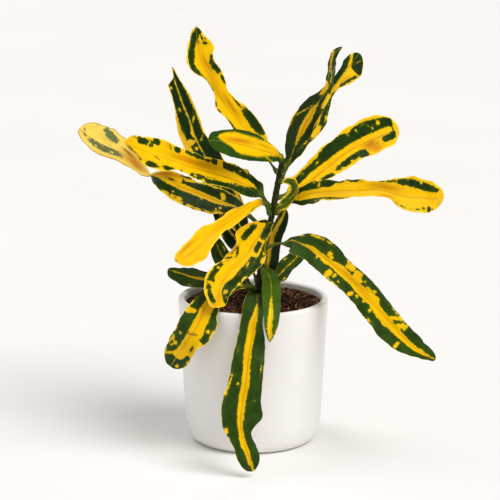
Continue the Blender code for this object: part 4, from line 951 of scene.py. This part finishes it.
def turned(profile, sides):
    """Points and faces of a profile (radius, height) turned about Z; radius 0 is one point."""
    rings, points = [], []
    for radius, height in profile:
        if radius == 0:
            rings.append([len(points)] * sides)
            points.append((0.0, 0.0, height))
            continue
        rings.append(list(range(len(points), len(points) + sides)))
        for k in range(sides):
            angle = 2 * math.pi * k / sides
            points.append((radius * math.cos(angle), radius * math.sin(angle), height))
    faces = []
    for lower, upper in zip(rings, rings[1:]):
        for k in range(sides):
            n = (k + 1) % sides
            faces.append(tuple(dict.fromkeys((lower[k], lower[n], upper[n], upper[k]))))
    return points, faces


def arc(centre, radius, start, end, count):
    """Points on an arc in the (radius, height) plane, angles in degrees."""
    angles = np.radians(np.linspace(start, end, count))
    return [(centre[0] + radius * math.cos(a), centre[1] + radius * math.sin(a)) for a in angles]


def inner_radius(height):
    """The pot's inner wall radius at a height."""
    slope = (POT_TOP_RADIUS - POT_SHOULDER[0]) / (POT_HEIGHT - POT_SHOULDER[1])
    return POT_TOP_RADIUS - POT_WALL - slope * (POT_HEIGHT - height)


def inner_corner(height, gap):
    """The turn from floor to wall inside the pot, for a floor at a height, shrunk by gap."""
    centre = (inner_radius(height) - gap - POT_INNER_CORNER, height + POT_INNER_CORNER)
    return arc(centre, POT_INNER_CORNER, -90, 0, CORNER_POINTS)


def make_pot(material):
    """The pot: a tapered wall on a rounded base, with a rounded rim."""
    outer = (POT_TOP_RADIUS - RIM_ROUNDING, POT_HEIGHT - RIM_ROUNDING)
    inner = (POT_TOP_RADIUS - POT_WALL + RIM_ROUNDING, POT_HEIGHT - RIM_ROUNDING)
    rim_outer = arc(outer, RIM_ROUNDING, 90, 0, RIM_POINTS)
    rim_inner = arc(inner, RIM_ROUNDING, 180, 90, RIM_POINTS)
    wall = [(np.interp(h, (POT_SHOULDER[1], POT_HEIGHT), (POT_SHOULDER[0], POT_TOP_RADIUS)), h)
            for h in (115, 95, 75, 55, 40)]
    inside = [(0, POT_FLOOR)] + inner_corner(POT_FLOOR, 0.0) + [(inner_radius(h), h) for h in (50, 90)]
    outside = rim_outer + wall + [POT_SHOULDER, *POT_BASE_TURN, (POT_FOOT_RADIUS, 0.0)]
    return add_mesh("pot_body", *turned(inside + rim_inner + outside + [(0, 0)], POT_SIDES), material)


def make_stem(material):
    """The stem, thickened and ringed where each leaf leaves it."""
    route = smooth_curve(STEM_ROUTE, np.linspace(0, len(STEM_ROUTE) - 1, STEM_STEPS))
    along = unit(np.gradient(route, axis=0))
    side = unit(np.cross((0.0, 1.0, 0.0), along))
    front = np.cross(along, side)
    angles = np.linspace(0, 2 * math.pi, STEM_SIDES, endpoint=False)[None, :, None]
    out = side[:, None, :] * np.cos(angles) + front[:, None, :] * np.sin(angles)
    radius = np.linspace(STEM_BASE_RADIUS, STEM_TOP_RADIUS, STEM_STEPS)[:, None] - BARK_DEPTH
    swollen, scar = np.zeros((2, STEM_STEPS, STEM_SIDES))
    for leaf in LEAVES.values():
        start, after = (np.array(row[:3], float) for row in leaf["midrib"][:2])
        above = (route[:, 2] - start[2])[:, None]
        facing = np.clip(out @ unit(after - start), 0, 1)
        swollen += FOOT_SWELLING * facing ** 1.5 * np.exp(-(above / FOOT_LENGTH) ** 2)
        scar += (0.4 + 0.6 * facing) * np.exp(-((above + SCAR_DROP) / SCAR_WIDTH) ** 2)
    for height in OLD_SCARS:
        ring = np.exp(-((route[:, 2] - height)[:, None] / OLD_SCAR_WIDTH) ** 2)
        swollen += OLD_SCAR_SWELLING * ring
        scar += 0.6 * ring
    grain = [noise.noise(Vector(p) * 0.35) for p in (route[:, None, :] + out * 3.0).reshape(-1, 3)]
    grain = np.array(grain).reshape(STEM_STEPS, STEM_SIDES)
    steps_left = STEM_STEPS - 1 - np.arange(STEM_STEPS)
    tip = np.sqrt(np.clip(steps_left / ROUND_END_STEPS, 0.02, 1.0))[:, None]
    reach = (radius + swollen + BARK_ROUGH * grain) * tip
    points = (route[:, None, :] + out * reach[..., None]).reshape(-1, 3)
    ring = np.arange(STEM_SIDES)
    ends = [ring[::-1].tolist(), (ring + len(points) - STEM_SIDES).tolist()]
    quads = tube_faces(ring, STEM_SIDES, STEM_STEPS)
    return add_mesh("stem_bark", points, quads + ends, material, {"scar": scar.ravel()})


def soil_height(x, y):
    """Height of the soil's surface: a low crown with soft lumps."""
    away = min(1.0, math.hypot(x, y) / (inner_radius(SOIL_EDGE_HEIGHT) - FIT_GAP))
    lumps = sum(high * noise.noise(Vector((x * scale, y * scale, layer)))
                for high, scale, layer in SOIL_LUMPS)
    return SOIL_EDGE_HEIGHT + SOIL_CROWN * (1 - away ** 2) + lumps - SOIL_SINK


def ball(subdivisions):
    """Points and faces of a ball of triangles, radius 1."""
    work = bmesh.new()
    bmesh.ops.create_icosphere(work, subdivisions=subdivisions, radius=1.0)
    points = np.array([v.co for v in work.verts])
    faces = np.array([[v.index for v in f.verts] for f in work.faces])
    work.free()
    return points, faces


def make_soil(material):
    """The potting soil: a lumpy body, with loose crumbs, clods and bits of fibre on top."""
    low = POT_FLOOR + FIT_GAP
    rim = inner_radius(SOIL_EDGE_HEIGHT) - FIT_GAP
    rings = int(rim / SOIL_RING_STEP)
    top = [(rim * (1 - i / rings), SOIL_EDGE_HEIGHT) for i in range(rings)] + [(0, SOIL_EDGE_HEIGHT)]
    body, faces = turned([(0, low)] + inner_corner(low, FIT_GAP) + top, SOIL_SIDES)
    body = np.array(body)
    is_top = body[:, 2] > SOIL_EDGE_HEIGHT - 0.1
    body[is_top, 2] = [soil_height(x, y) for x, y in body[is_top, :2]]
    tones = [np.zeros(len(body))]
    groups, shift = [body], len(body)
    chance = np.random.default_rng(GRAIN_SEED)
    for count, subdivisions, sizes, squash, lean, room in GRAINS:
        shape, shape_faces = ball(subdivisions)
        for _ in range(count):
            size = chance.uniform(*sizes)
            away = min((rim - size - GRAIN_ROOM) * math.sqrt(chance.uniform(0, 1)), rim - room)
            angle = chance.uniform(0, 2 * math.pi)
            x, y = away * math.cos(angle), away * math.sin(angle)
            lumps = chance.uniform(-GRAIN_LUMPS, GRAIN_LUMPS, (len(shape), 1))
            lumpy = shape * (1 + lumps) * squash * size
            turn = Matrix.Rotation(chance.uniform(0, 6.28), 3, "Z")
            turn = turn @ Matrix.Rotation(chance.uniform(-lean, lean), 3, "Y")
            height = soil_height(x, y) + size * chance.uniform(*GRAIN_HEIGHTS)
            groups.append(lumpy @ np.array(turn).T + (x, y, height))
            tones.append(np.full(len(shape), chance.uniform(0.0, 1.0) ** GRAIN_DARKNESS))
            faces += (shape_faces + shift).tolist()
            shift += len(shape)
    points = np.concatenate(groups)
    return add_mesh("soil_crumbs", points, faces, material, {"tone": np.concatenate(tones)}, sharp=35)


def add_lamp(name, place, strength, softness, seen_by):
    """A soft sun that shines from a place to the origin."""
    light = bpy.data.lights.new(name, "SUN")
    light.energy = strength
    light.angle = math.radians(softness)
    made = bpy.data.objects.new(name, light)
    made.rotation_euler = Vector(place).to_track_quat("Z", "Y").to_euler()
    made.visible_glossy = seen_by != "diffuse"
    made.visible_diffuse = seen_by != "gloss"
    bpy.context.collection.objects.link(made)


def make_world():
    """A near-white backdrop that lights the plant more softly than it looks."""
    world = bpy.data.worlds.new("studio")
    bpy.context.scene.world = world
    world.use_nodes = True
    tree = world.node_tree
    seen = tree.nodes["Background"]
    seen.inputs["Color"].default_value = linear(BACKGROUND)
    lit = tree.nodes.new("ShaderNodeBackground")
    lit.inputs["Color"].default_value = linear(BACKGROUND)
    lit.inputs["Strength"].default_value = WORLD_LIGHT
    choice = tree.nodes.new("ShaderNodeMixShader")
    rays = tree.nodes.new("ShaderNodeLightPath")
    tree.links.new(rays.outputs["Is Camera Ray"], choice.inputs[0])
    tree.links.new(lit.outputs[0], choice.inputs[1])
    tree.links.new(seen.outputs[0], choice.inputs[2])
    tree.links.new(choice.outputs[0], tree.nodes["World Output"].inputs["Surface"])


def make_stage():
    """The pale floor, the lights and the camera."""
    nodes = Nodes("pale_floor")
    tint = nodes.step(nodes.noise(nodes.place(), 3.0), 0.3, 0.7)
    nodes.surface(nodes.mix(tint, *FLOOR_COLOURS), 0.6)
    points, faces = turned([(0, 0), (FLOOR_RADIUS, 0)], FLOOR_SIDES)
    floor = add_mesh("floor", np.array(points) - (0, 0, FLOOR_DROP), faces, nodes.material)
    make_world()
    for lamp in LAMPS:
        add_lamp(*lamp)
    camera = bpy.data.objects.new("camera", bpy.data.cameras.new("camera"))
    camera.data.lens = CAMERA_LENS
    camera.data.sensor_width = CAMERA_SENSOR
    camera.location = CAMERA_PLACE
    camera.rotation_euler = (math.radians(CAMERA_TILT), 0, 0)
    bpy.context.collection.objects.link(camera)
    scene = bpy.context.scene
    scene.camera = camera
    scene.view_settings.view_transform = "Standard"


def dress(piece, node):
    """Put a fine piece in place of its CAD node."""
    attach(piece, "root")
    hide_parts(node)


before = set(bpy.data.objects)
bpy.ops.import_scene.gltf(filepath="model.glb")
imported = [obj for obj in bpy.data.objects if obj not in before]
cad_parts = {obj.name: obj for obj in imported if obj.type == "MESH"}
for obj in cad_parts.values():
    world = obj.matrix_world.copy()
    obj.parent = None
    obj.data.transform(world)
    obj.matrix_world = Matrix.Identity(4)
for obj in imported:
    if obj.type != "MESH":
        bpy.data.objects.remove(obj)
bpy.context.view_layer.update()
make_stage()
dress(make_pot(ceramic_material()), "pot")
dress(make_soil(soil_material()), "soil")
dress(make_stem(stem_material()), "stem")
leaf_materials = {kind: leaf_material(kind, **values) for kind, values in LEAF_COLOURS.items()}
for number, (leaf_name, leaf) in enumerate(LEAVES.items(), start=1):
    blade = make_leaf(leaf_name, leaf, leaf_materials[leaf["colour"]], number)
    dress(blade, "leaf_" + leaf_name)
